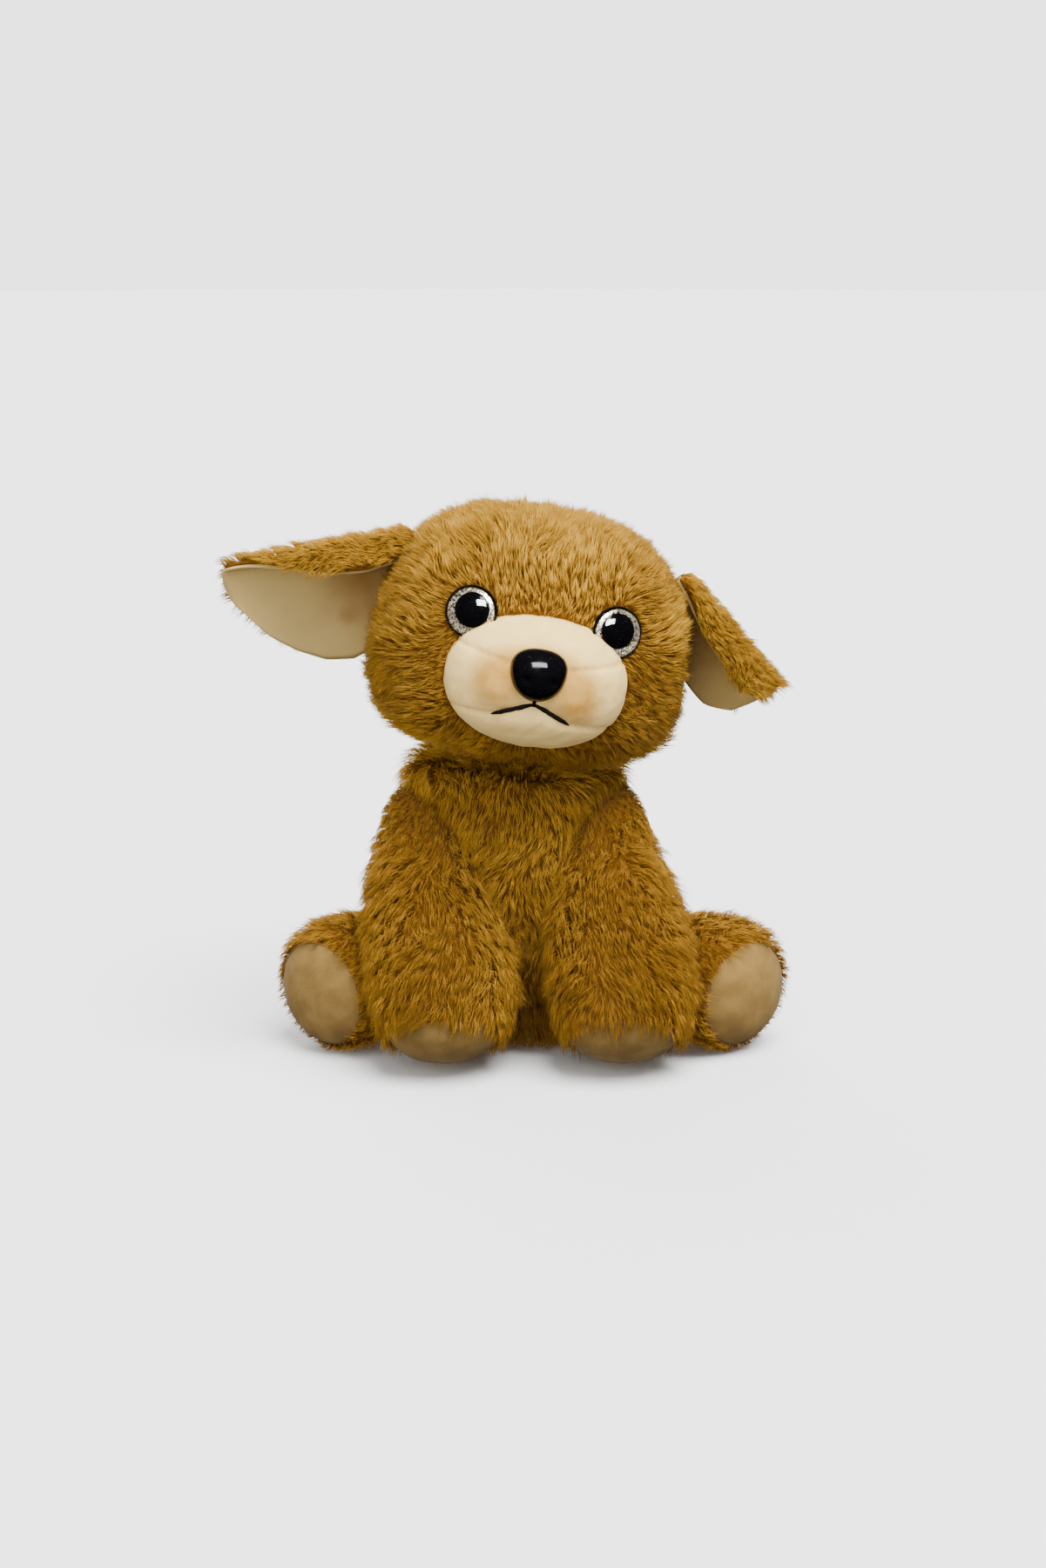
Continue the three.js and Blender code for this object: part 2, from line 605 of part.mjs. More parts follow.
// ---- torso ----
function torsoShape(grow) {
  const { height, half, depth, seatLean, topLean } = TORSO;
  const seat = SEAT_RADIUS + grow;
  const rows = [[0, -grow], [seat, -grow], [half * 0.83 + grow, 10], [half * 0.96 + grow, 24],
    [half + grow, 42], [half * 0.96 + grow, 66], [half * 0.87 + grow, 88], [half * 0.76 + grow, 106],
    [half * 0.6 + grow, 121], [half * 0.36 + grow * 0.7, height - 4 + grow], [0, height + grow]];
  const shape = turned(rows, 24);
  return mapVertices(bare(shape), (v) => {
    const share = v.z / height;
    v.setY(v.y * depth + seatLean + (topLean - seatLean) * share);
  });
}

function headSweep(grow) {
  const shape = verticesOf(headShape(grow, 18, 12));
  const jaw = verticesOf(muzzleShape(grow, 12, 8));
  const placements = [];
  for (const nod of [-NOD, 0, NOD]) {
    for (const tilt of [-TILT, 0, TILT]) {
      for (const turn of [-TURN, 0, TURN]) {
        const move = new THREE.Matrix4().makeRotationFromEuler(
          new THREE.Euler(degrees(nod), degrees(tilt), degrees(turn), 'ZYX'));
        placements.push(headFrame.clone().multiply(move));
      }
    }
  }
  return hullOf([...shape, ...jaw], placements);
}

function tailFrame() {
  return limbFrame(TAIL_ROOT, TAIL_ROOT.clone().add(TAIL_WAY));
}
const tailAxis = new THREE.Vector3(1, 0, 0);

function limbSweeps(grow) {
  const sweeps = MIRROR.flatMap(([, side]) => [
    limbSweep(FORELEG, grow, swings(foreFrame(side), foreAxis, FORELEG_SWING)),
    limbSweep(HINDLEG, grow, swings(hindFrame(side), hindAxis(side), HINDLEG_LIFT)),
  ]);
  sweeps.push(limbSweep(TAIL, grow, swings(tailFrame(), tailAxis, TAIL_SWING)));
  return sweeps.reduce((all, next) => all.add(next));
}

function makeTorso() {
  const group = new THREE.Group();
  const cut = (grow) => limbSweeps(CLEAR_OF_SWEEP + grow).add(headSweep(CLEAR_OF_SWEEP + grow));
  const inset = (depth) => largest(solid(torsoShape(-depth)).subtract(cut(depth)));
  const neckMouth = solid(new THREE.CylinderGeometry(NECK_MOUTH, NECK_MOUTH, 60, 20).rotateX(Math.PI / 2)
    .translate(NECK.x, NECK.y, NECK.z - 10));
  const shell = inset(0).subtract(inset(CLOTH)).subtract(neckMouth);

  const seatSide = halfSpace(new THREE.Vector3(0, 0, SEAT_RISE), new THREE.Vector3(0, 0, -1));
  const above = halfSpace(new THREE.Vector3(0, 0, SEAT_RISE + GAP), new THREE.Vector3(0, 0, 1));
  const front = halfSpace(BELLY_SEAM, BELLY_WAY);
  const behind = halfSpace(BELLY_SEAM.clone().setY(BELLY_SEAM.y + 1.2 * GAP), BELLY_WAY.clone().negate());
  group.add(meshOf('torso_seat_panel', shell.intersect(seatSide), PILE));
  group.add(meshOf('torso_belly_panel', shell.intersect(above).intersect(front), PILE));
  for (const [name, side] of MIRROR) {
    const half = halfSpace(new THREE.Vector3(side * GAP / 2, 0, 0), new THREE.Vector3(side, 0, 0));
    const panel = shell.intersect(above).intersect(behind).intersect(half);
    group.add(meshOf(`torso_${name}_panel`, panel, PILE));
  }

  const core = inset(CLOTH + GAP);
  const bag = (grow) => solid(squircle(BAG_HALF.clone().addScalar(grow), 2.4, 16, 10)
    .translate(0, BAG_AT.y, BAG_AT.z)).intersect(inset(CLOTH + BAG_INSET - grow));
  // The slit that the bag went in by.
  const way = solid(new THREE.CylinderGeometry(BAG_SLIT, BAG_SLIT, BAG_AT.z, 14).rotateX(Math.PI / 2)
    .translate(0, BAG_AT.y, BAG_AT.z / 2));
  group.add(meshOf('torso_filling', core.subtract(bag(GAP)).subtract(way), FILLING));
  group.add(meshOf('pellet_bag', bag(0), PELLETS));
  return group;
}

function makeTail() {
  const group = new THREE.Group();
  tailFrame().decompose(group.position, group.quaternion, group.scale);
  const shape = (grow) => solid(lathe(limbProfile(TAIL.root, TAIL.paw, TAIL.reach, grow), 12));
  const opening = new THREE.CylinderGeometry(TAIL.opening, TAIL.opening, 2 * TAIL.root, 14);
  const mouth = solid(opening.translate(0, -TAIL.root, 0));
  group.add(meshOf('tail_cover', shape(0).subtract(shape(-CLOTH)).subtract(mouth), PILE));
  group.add(meshOf('tail_filling', shape(-CLOTH - GAP), FILLING));
  return group;
}

const dog = new THREE.Group();
dog.add(makeTorso(), makeTail(), makeNeck(), makeHead());
for (const [name, side] of MIRROR) {
  dog.add(makeLimb(`${name}_foreleg`, FORELEG, foreFrame(side)));
  dog.add(makeLimb(`${name}_hindleg`, HINDLEG, hindFrame(side)));
}

export default dog;
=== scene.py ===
"""A sitting plush dog with long pile, velour face and soles, and moulded eyes and nose, in a soft studio."""
import math

import bmesh
import bpy
import numpy as np
from bpy.props import FloatProperty, FloatVectorProperty, IntProperty, PointerProperty
from mathutils import Matrix, Vector, noise
from mathutils.bvhtree import BVHTree
from mathutils.kdtree import KDTree


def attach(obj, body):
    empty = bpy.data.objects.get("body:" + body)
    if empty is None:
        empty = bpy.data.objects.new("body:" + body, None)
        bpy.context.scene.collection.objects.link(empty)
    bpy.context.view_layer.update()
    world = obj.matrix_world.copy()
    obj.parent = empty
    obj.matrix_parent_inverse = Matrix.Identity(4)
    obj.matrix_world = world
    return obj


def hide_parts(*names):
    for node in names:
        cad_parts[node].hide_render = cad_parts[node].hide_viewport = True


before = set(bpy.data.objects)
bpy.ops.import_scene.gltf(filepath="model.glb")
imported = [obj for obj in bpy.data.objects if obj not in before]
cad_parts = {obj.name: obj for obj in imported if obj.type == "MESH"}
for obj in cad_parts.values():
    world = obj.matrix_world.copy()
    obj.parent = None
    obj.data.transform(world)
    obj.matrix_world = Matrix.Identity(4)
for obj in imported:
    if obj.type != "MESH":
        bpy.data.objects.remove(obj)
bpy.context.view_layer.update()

bl_info = {
    "name": "Plush dog",
    "version": (1, 0, 0),
    "blender": (4, 5, 0),
    "location": "3D View > Sidebar > Plush dog",
    "description": "Dresses the jointed plush dog in pile, velour and moulded parts",
    "category": "Object",
}

MM = 0.001
SIDES = {"left": 1, "right": -1}
UP = Vector((0, 0, 1))
LEAN = -8 * MM  # how far the stuffing has settled to the dog's right at the shoulders
FULL_SHOULDERS = 0.34  # how much wider the shoulders are stuffed than their pattern

# The head turns and tilts on the neck, and its own frame stands on that point.
NECK = Vector((-6, -30, 139)) * MM
HEAD_FRAME = (
    Matrix.Translation(NECK)
    @ Matrix.Rotation(math.radians(4), 4, "Z")
    @ Matrix.Rotation(math.radians(9), 4, "Y")
)
HEAD_AT = Vector((-2, -5, 40)) * MM
HEAD_HALF = Vector((62, 53, 51)) * MM
HEAD_SQUARE = 2.7
HEAD_UNDER = 0.96  # the jaw is flatter than the crown
CROWN_HALF = 21 * MM
MUZZLE_AT = Vector((-1.5, -47, 30)) * MM
MUZZLE_HALF = Vector((38, 34, 28)) * MM
MUZZLE_SQUARE = 2.2
MOUTH_AT = (-3.5 * MM, 24.2 * MM)  # middle of the mouth across and up the face
MOUTH_HALF = 15.5 * MM
MOUTH_FALL = 6.6 * MM
NOSE_AT = (-3.5 * MM, 36.5 * MM)
NOSE_HALF = Vector((12.6, 10.6, 9.2)) * MM
NOSE_SQUARE = 2.35
NOSE_SINK = 1.6 * MM
EYE_SIDE = 29.6 * MM
EYE_RISE = 14 * MM
EYE_SINK = 1.2 * MM

# Radius of the body at each height, in millimetres, and how far it leans forward at the seat and at the neck.
BODY_ROWS = ((30, 0), (42.3, 10), (49, 24), (51, 42), (49, 66), (44.4, 88), (38.8, 106), (30.6, 121),
             (18.4, 130))
BODY_HEIGHT = 134 * MM
BODY_DEPTH = 0.92
SEAT_LEAN = -4 * MM
TOP_LEAN = -32 * MM

# Legs and tail in millimetres: where the left one starts and points, its radii, its length, and the place and
# slope of its sole seam.
LIMBS = {
    "foreleg": {"pivot": (37.5, -33, 100), "tip": (37.5, -72, 24), "root": 18, "paw": 26.5, "reach": 105,
                "seam": 91.5, "slope": 0.0, "belly": 4.5, "strands": 17300},
    "hindleg": {"pivot": (44, 8, 28), "tip": (90, -46, 29), "root": 19, "paw": 27.5, "reach": 81,
                "seam": 71, "slope": 0.12, "belly": 0.0, "strands": 11000},
}
TAIL = {"pivot": (0, 37, 27), "way": (0, 0.86, 0.5), "root": 10, "paw": 8, "reach": 44, "belly": 0.0}

# Each ear is cut from a middle line: hang is its width below and flap its width above, from root to tip.
EAR_RIDGE = 5.5 * MM
EAR_FOLD = math.radians(150)
EAR_RISE = 15 * MM
EAR_TUCK = 12 * MM
EAR_PILE_OFF = 1.5 * MM
EAR_LINING_OFF = -0.15 * MM
EARS = {
    "left": {"root": (57, 0, 58), "along": (0.76, -0.05, -0.65), "pile": (0.34, 0.72, 0.6), "length": 50,
             "hang": (20, 26, 30, 32, 34, 34, 33, 28), "flap": (10, 11, 13, 15, 17, 19, 20, 18)},
    "right": {"root": (-62.5, 0, 55), "along": (-0.947, -0.03, -0.32), "pile": (0, 0.95, 0.3), "length": 68,
              "hang": (22, 32, 43, 47, 45, 38, 28, 14), "flap": (17, 19, 20, 19, 17, 14, 10, 6)},
}


# ---------------------------------------------------------------- settings


def colour_setting(name, description, default):
    return FloatVectorProperty(name=name, description=description, default=default, subtype="COLOR",
                               size=3, min=0, max=1)


def length_setting(name, description, default):
    return FloatProperty(name=name, description=description, default=default, unit="LENGTH",
                         subtype="DISTANCE")


class DogSizes(bpy.types.PropertyGroup):
    """Sizes of the pile and the sewing."""

    pile: length_setting("Pile length", "Length of one strand on the body", 10.5 * MM)
    strand: length_setting("Strand radius", "Radius of a strand at its root", 0.165 * MM)
    density: FloatProperty(name="Pile density", description="Share of the full number of strands",
                           default=1.0, min=0.05, max=1.05, subtype="FACTOR")
    voxel: length_setting("Cloth grid", "Grid of the cloth that the filling swells", 4 * MM)
    swell: length_setting("Swell", "Most that the filling may push the cloth out", 1.6 * MM)
    frames: IntProperty(name="Stuffing steps", description="Steps of the cloth simulation", default=20, min=2)


class DogColours(bpy.types.PropertyGroup):
    """Colours of the fabrics and the moulded parts."""

    pile_root: colour_setting("Pile root", "Pile near the backing cloth", (0.07, 0.022, 0.002))
    pile_tip: colour_setting("Pile tip", "Ends of the pile", (0.56, 0.295, 0.02))
    pile_dark: colour_setting("Dark pile tip", "Ends of the darker strands", (0.22, 0.095, 0.006))
    velour: colour_setting("Face velour", "Cream velour of the muzzle", (0.84, 0.6, 0.21))
    blush: colour_setting("Face blush", "Tan shading beside the nose", (0.37, 0.165, 0.012))
    sole: colour_setting("Sole velour", "Velour of the soles", (0.17, 0.098, 0.022))
    lining: colour_setting("Ear lining", "Velour inside the ears", (0.47, 0.335, 0.115))
    # Painted shade near the ear's root together with the lining's own brown there, and the colour of one
    # small spot.
    stain_and_shade: colour_setting("Ear shading", "Darker shading near the ear's root", (0.2, 0.075, 0.01))
    thread: colour_setting("Mouth thread", "Embroidery thread", (0.003, 0.0025, 0.002))
    seam: colour_setting("Seam thread", "Thread of the sole seams", (0.2, 0.1, 0.03))
    plastic: colour_setting("Black plastic", "Nose, pupils and eye backs", (0.002, 0.002, 0.0025))
    floor: colour_setting("Floor", "Studio floor", (0.85, 0.85, 0.85))


# ---------------------------------------------------------------- surface finishes


class Signal:
    """A value or a colour on its way through a material, which Python operators turn into Math nodes."""

    def __init__(self, paint, socket):
        self.paint = paint
        self.socket = socket

    def math(self, operation, *others):
        return self.paint.node("ShaderNodeMath", {"operation": operation}, dict(enumerate((self, *others))))

    def __add__(self, other):
        return self.math("ADD", other)

    def __sub__(self, other):
        return self.math("SUBTRACT", other)

    def __mul__(self, other):
        return self.math("MULTIPLY", other)

    def __rsub__(self, other):
        return self.paint.node("ShaderNodeMath", {"operation": "SUBTRACT"}, {0: other, 1: self})

    __radd__ = __add__
    __rmul__ = __mul__


class Paint:
    """One material: a Principled shader whose fixed values are set here, and the nodes that feed it."""

    def __init__(self, name, **fixed):
        self.material = bpy.data.materials.new(name)
        self.material.use_nodes = True
        self.tree = self.material.node_tree
        self.tree.nodes.clear()
        self.shader = self.tree.nodes.new("ShaderNodeBsdfPrincipled")
        output = self.tree.nodes.new("ShaderNodeOutputMaterial")
        self.tree.links.new(self.shader.outputs[0], output.inputs[0])
        for key, value in fixed.items():
            self.shader.inputs[key.replace("_", " ")].default_value = self.plain(value)

    @staticmethod
    def plain(value):
        """A fixed value as its socket holds it: a colour gets its fourth number."""
        if hasattr(value, "__len__") and len(value) == 3:
            return (*value, 1.0)
        return value

    def node(self, kind, settings=None, sockets=None, output=0):
        """Adds a node, gives it its settings, then fixes or links its sockets."""
        made = self.tree.nodes.new(kind)
        for key, value in (settings or {}).items():
            if key == "stops":
                self.stops(made.color_ramp, value)
            else:
                setattr(made, key, value)
        for key, value in (sockets or {}).items():
            if isinstance(value, Signal):
                self.tree.links.new(value.socket, made.inputs[key])
            elif isinstance(made.inputs[key], bpy.types.NodeSocketVector):
                made.inputs[key].default_value = value
            else:
                made.inputs[key].default_value = self.plain(value)
        return Signal(self, made.outputs[output])

    def stops(self, ramp, stops):
        """Places and colours of a ramp, from left to right."""
        while len(ramp.elements) < len(stops):
            ramp.elements.new(0.5)
        for element, (place, colour) in zip(ramp.elements, stops):
            element.position = place
            element.color = self.plain(colour)

    def feed(self, **signals):
        """Links signals to the shader's sockets, and returns the finished material."""
        for key, signal in signals.items():
            self.tree.links.new(signal.socket, self.shader.inputs[key.replace("_", " ")])
        return self.material

    def place(self):
        return self.node("ShaderNodeTexCoord", output="Object")

    def noise(self, scale, detail):
        sockets = {"Vector": self.place(), "Scale": scale, "Detail": detail}
        return self.node("ShaderNodeTexNoise", None, sockets)

    def mix(self, factor, first, second):
        return self.node("ShaderNodeMix", {"data_type": "RGBA"}, {0: factor, 6: first, 7: second}, output=2)

    def ramp(self, value, *stops):
        return self.node("ShaderNodeValToRGB", {"stops": stops}, {0: value})

    def between(self, value, low, high, start=0.0, end=1.0):
        sockets = {"Value": value, "From Min": low, "From Max": high, "To Min": start, "To Max": end}
        return self.node("ShaderNodeMapRange", {"interpolation_type": "SMOOTHSTEP"}, sockets)

    def near(self, point, reach, edge):
        """1 round a point of the model, falling to 0 from a share of its reach to the whole of it."""
        distance = self.node("ShaderNodeVectorMath", {"operation": "DISTANCE"},
                             {0: self.place(), 1: tuple(point)}, output="Value")
        return self.between(distance, reach * edge, reach, 1.0, 0.0)

    def bump(self, height, strength, distance):
        sockets = {"Height": height, "Strength": strength, "Distance": distance}
        return self.node("ShaderNodeBump", None, sockets)


def colours():
    return bpy.context.scene.dog_colours


def sizes():
    return bpy.context.scene.dog_sizes


def mixed(first, second, share):
    """A colour part of the way from one to another."""
    return tuple(a + (b - a) * share for a, b in zip(first, second))


BLACK = (0, 0, 0)
PILE_HIGHLIGHT = (0.98, 0.74, 0.14)
SOLE_HIGHLIGHT = (0.9, 0.6, 0.2)

# Tan shading of the face: across and up from the nose, and reach, all in millimetres, then depth.
BLUSH_SPOTS = (
    (-15.5, -4.5, 19, 1.0),
    (15.5, -6.5, 18, 1.0),
    (0, 9.5, 15.0, 0.6),
    (-10, 5.0, 11.0, 0.5),
    (10, 4.0, 11.0, 0.55),
    (20, -14, 9.0, 0.4),
)


def once(make):
    """Makes a finish when it is first asked for, and hands out the same one after that."""
    made = {}

    def finish(*details):
        if details not in made:
            made[details] = make(*details)
        return made[details]

    return finish


@once
def pile_finish():
    """Strands that run from a dark root to a light tip; the first map coordinate is the strand's tone."""
    root, tip, dark = colours().pile_root, colours().pile_tip, colours().pile_dark
    paint = Paint("long_pile", Roughness=0.85, Specular_IOR_Level=0.12, Sheen_Weight=0.04,
                  Sheen_Roughness=0.5, Sheen_Tint=(1.0, 0.75, 0.35))
    uv = paint.node("ShaderNodeUVMap", {"uv_map": "OFBake"})
    tone = paint.node("ShaderNodeSeparateXYZ", None, {0: uv}, output="X")
    along = paint.node("ShaderNodeSeparateXYZ", None, {0: uv}, output="Y")
    # The tone mixes the darker and the lighter ramp: besides the strands' own tone it carries the painted
    # light and shade that the pieces give by place. The lighter ramp ends in a painted highlight at the tip.
    shade = paint.ramp(along, (0.0, mixed(root, dark, 0.1)), (0.35, mixed(root, dark, 0.55)),
                       (0.75, dark), (1.0, mixed(dark, tip, 0.3)))
    light = paint.ramp(along, (0.0, mixed(root, dark, 0.5)), (0.3, mixed(dark, tip, 0.35)),
                       (0.7, tip), (1.0, mixed(tip, PILE_HIGHLIGHT, 0.42)))
    return paint.feed(Base_Color=paint.mix(tone, shade, light))


@once
def painted_shade_backing_finish():
    """Knitted backing under the pile, in dark pile colours that paint the shade between the strands."""
    paint = Paint("pile_backing_painted_shade", Roughness=0.95, Specular_IOR_Level=0.1)
    root, dark = colours().pile_root, colours().pile_dark
    weave = paint.noise(900.0, 2.0)
    patch = paint.noise(60.0, 2.0)
    colour = paint.mix(weave * 0.5 + patch * 0.5, mixed(root, dark, 0.25), mixed(root, dark, 0.8))
    return paint.feed(Base_Color=colour, Normal=paint.bump(weave, 0.5, 0.4 * MM))


def velour_paint(name, sheen):
    """The dull, faintly shiny ground of every velour piece."""
    return Paint(name, Roughness=0.9, Specular_IOR_Level=0.2, Sheen_Weight=0.08, Sheen_Roughness=0.4,
                 Sheen_Tint=sheen)


def nap(paint, strength):
    """Short velour nap: a fine grain with brushed patches. Returns the patches, the grain and a normal."""
    patch = paint.noise(95.0, 3.0)
    grain = paint.noise(2600.0, 2.0)
    ribs = paint.noise(620.0, 3.0)
    height = grain * 0.45 + ribs * 0.35 + patch * 0.4
    return patch, grain, paint.bump(height, strength, 0.6 * MM)


@once
def velour_finish():
    """Cream velour with tan shading on both sides of the nose and above it."""
    cream, blush = colours().velour, colours().blush
    paint = velour_paint("face_velour", (1.0, 0.95, 0.85))
    patch, grain, normal = nap(paint, 0.7)
    across, up = NOSE_AT
    front = MUZZLE_AT.y - MUZZLE_HALF.y
    shade = None
    for right, rise, reach, depth in BLUSH_SPOTS:
        spot_at = Vector((across + right * MM, front + abs(right) * 0.28 * MM, up + rise * MM))
        spot = paint.near(HEAD_FRAME @ spot_at, reach * MM, 0.1) * depth
        shade = spot if shade is None else shade + spot * (1 - shade)
    shade = shade * mouth_mask(paint) * (patch * 0.8 + 0.8)
    tinted = paint.mix(shade, cream, blush)
    brushed = paint.between(patch, 0.35, 0.65)
    colour = paint.mix(brushed * 0.3 + grain * 0.12, tinted, mixed(cream, blush, 0.4))
    return paint.feed(Base_Color=colour, Normal=normal)


def mouth_mask(paint):
    """1 above the mouth, falling to 0 on the chin."""
    way = (HEAD_FRAME.to_3x3() @ UP).normalized()
    height = paint.node("ShaderNodeVectorMath", {"operation": "DOT_PRODUCT"},
                        {0: paint.place(), 1: tuple(way)}, output="Value")
    middle = (HEAD_FRAME @ Vector((MOUTH_AT[0], MUZZLE_AT.y, MOUTH_AT[1] - 6 * MM))).dot(way)
    return paint.between(height, middle - 2 * MM, middle + 3 * MM)


@once
def sole_finish():
    """Beige velour with darker grain."""
    sole = colours().sole
    paint = velour_paint("sole_nap", (1.0, 0.9, 0.7))
    patch, grain, normal = nap(paint, 0.8)
    brushed = paint.between(patch, 0.3, 0.7)
    colour = paint.mix(brushed, mixed(sole, BLACK, 0.1), mixed(sole, SOLE_HIGHLIGHT, 0.07))
    colour = paint.mix(grain * 0.3, colour, mixed(sole, BLACK, 0.45))
    return paint.feed(Base_Color=colour, Normal=normal)


@once
def lining_finish(side):
    """Velour ear lining, darker near the root with its own brown and painted shade in the fold's hollow, and
    with one small spot.
    """
    lining, stain_and_shade = colours().lining, colours().stain_and_shade
    paint = velour_paint(f"{side}_ear_velour", (1.0, 0.93, 0.8))
    patch, grain, normal = nap(paint, 0.8)
    ear, hand = ear_frame(side), SIDES[side]
    # Near the root the lining is darker: partly its own brown, partly painted shade; the spot is a mark in
    # the cloth.
    root = paint.near(ear @ Vector((4 * MM, 0, hand * 2 * MM)), 34 * MM, 0.25)
    spot = paint.near(ear @ Vector((20 * MM, 0, -hand * 12 * MM)), 7 * MM, 0.1)
    shade = (root * 0.75 + spot * (1 - root) * 0.7) * (patch * 0.8 + 0.5)
    colour = paint.mix(shade, lining, stain_and_shade)
    colour = paint.mix(patch * 0.25 + grain * 0.12, colour, mixed(lining, stain_and_shade, 0.4))
    return paint.feed(Base_Color=colour, Normal=normal)


@once
def plastic_finish():
    """Glossy black plastic with the faint waviness of a moulding."""
    paint = Paint("gloss_black", Specular_IOR_Level=0.16)
    wave = paint.noise(260.0, 2.0)
    fleck = paint.noise(2400.0, 1.0)
    colour = paint.mix(paint.between(fleck, 0.72, 0.8), colours().plastic, (0.05, 0.05, 0.055))
    rough = paint.between(wave, 0.3, 0.7, 0.06, 0.16)
    return paint.feed(Base_Color=colour, Roughness=rough, Normal=paint.bump(wave, 0.03, 0.4 * MM))


@once
def glitter_finish():
    """Silver and gold flakes, each tilted its own way."""
    paint = Paint("glitter_film", Metallic=0.85, Specular_IOR_Level=0.6)
    sockets = {"Vector": paint.place(), "Scale": 1500.0, "Randomness": 1.0}
    cell = paint.node("ShaderNodeTexVoronoi", None, sockets, output="Color")
    pick = paint.node("ShaderNodeSeparateColor", None, {0: cell}, output=0)
    tilt = paint.node("ShaderNodeSeparateColor", None, {0: cell}, output=1)
    colour = paint.ramp(pick, (0.0, (0.03, 0.02, 0.012)), (0.3, (0.3, 0.2, 0.08)),
                        (0.55, (0.75, 0.62, 0.36)), (0.8, (0.95, 0.92, 0.85)), (1.0, (1.0, 1.0, 1.0)))
    rough = paint.between(tilt, 0.0, 1.0, 0.18, 0.45)
    return paint.feed(Base_Color=colour, Roughness=rough, Normal=paint.bump(tilt, 0.6, 0.35 * MM))


@once
def clear_finish():
    """Almost invisible clear plastic that only shines."""
    paint = Paint("clear_acrylic", Base_Color=(1.0, 1.0, 1.0), Roughness=0.03, Metallic=1.0, Alpha=0.04)
    return paint.material


@once
def thread_finish(name, setting):
    """Twisted thread in one of the colour settings."""
    colour = getattr(colours(), setting)
    paint = Paint(name, Roughness=0.85, Specular_IOR_Level=0.08)
    strands = paint.noise(1500.0, 2.0)
    tone = paint.mix(strands, mixed(colour, BLACK, 0.4), tuple(1.5 * c for c in colour))
    return paint.feed(Base_Color=tone, Normal=paint.bump(strands, 0.6, 0.3 * MM))


@once
def washer_finish():
    """Milky plastic of the lock washers."""
    paint = Paint("washer_plastic", Roughness=0.45, Specular_IOR_Level=0.4)
    cloud = paint.noise(180.0, 2.0)
    return paint.feed(Base_Color=paint.mix(cloud, (0.7, 0.7, 0.68), (0.82, 0.82, 0.8)))


def refinish(node, material):
    """Gives a CAD node that stays visible a material of this script."""
    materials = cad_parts[node].data.materials
    materials.clear()
    materials.append(material)


# ---------------------------------------------------------------- making meshes


def piece_of(name, bm, material):
    """A named object from a finished bmesh."""
    mesh = bpy.data.meshes.new(name)
    bm.to_mesh(mesh)
    bm.free()
    mesh.shade_smooth()
    piece = bpy.data.objects.new(name, mesh)
    bpy.context.scene.collection.objects.link(piece)
    mesh.materials.append(material)
    return piece


def apply_modifiers(piece):
    """Turns what the modifiers make into the piece's own mesh."""
    shown = piece.evaluated_get(bpy.context.evaluated_depsgraph_get())
    made = bpy.data.meshes.new_from_object(shown)
    piece.modifiers.clear()
    before = piece.data
    piece.data = made
    name = before.name
    bpy.data.meshes.remove(before)
    made.name = name
    made.shade_smooth()


def places_of(mesh):
    found = np.empty(len(mesh.vertices) * 3, np.float32)
    mesh.vertices.foreach_get("co", found)
    return found.reshape(-1, 3)


def move_to(mesh, places):
    mesh.vertices.foreach_set("co", np.asarray(places).astype(np.float32).ravel())
    mesh.update()


def keep_above_floor(mesh):
    places = places_of(mesh)
    places[:, 2] = np.maximum(places[:, 2], 0)
    move_to(mesh, places)


def ease(share):
    """0 up to 0, 1 from 1 on, and a soft step between them."""
    share = min(max(share, 0.0), 1.0)
    return share * share * (3 - 2 * share)


def even_ball(cuts, shape):
    """A ball of even quads, each point of which goes where shape sends its direction."""
    bm = bmesh.new()
    bmesh.ops.create_cube(bm, size=2)
    bmesh.ops.subdivide_edges(bm, edges=bm.edges[:], cuts=cuts, use_grid_fill=True)
    for vert in bm.verts:
        direction = Vector([math.tan(c * math.pi / 4) for c in vert.co]).normalized()
        vert.co = shape(direction)
    bmesh.ops.recalc_face_normals(bm, faces=bm.faces[:])
    return bm


def turned(rows, steps=40):
    """A closed form turned about Z from rows of radius and height, which start and end on the axis."""
    bm = bmesh.new()
    verts = [bm.verts.new((radius, 0, height)) for radius, height in rows]
    edges = [bm.edges.new(pair) for pair in zip(verts, verts[1:])]
    bmesh.ops.spin(bm, geom=verts + edges, cent=(0, 0, 0), axis=(0, 0, 1), angle=2 * math.pi, steps=steps,
                   use_merge=True)
    bmesh.ops.remove_doubles(bm, verts=bm.verts[:], dist=1e-6)
    bmesh.ops.recalc_face_normals(bm, faces=bm.faces[:])
    return bm


def rounded(direction, half, square):
    """The point of a rounded block in one direction from its middle."""
    norm = sum(abs(c) ** square for c in direction) ** (1 / square)
    return Vector([c * h / norm for c, h in zip(direction, half)])


def stuffed(name, bm, material, voxel, swell, is_seam):
    """The form as a skin of cloth that its filling blows up between its seams, then smoothed."""
    piece = piece_of(name, bm, material)
    even = piece.modifiers.new("even", "REMESH")
    even.mode = "VOXEL"
    even.voxel_size = voxel
    apply_modifiers(piece)
    blow_up(piece, swell, is_seam)
    finer = piece.modifiers.new("finer", "SUBSURF")
    finer.levels = 1
    finer.render_levels = 1
    apply_modifiers(piece)
    piece.data.materials.clear()
    piece.data.materials.append(material)
    return piece


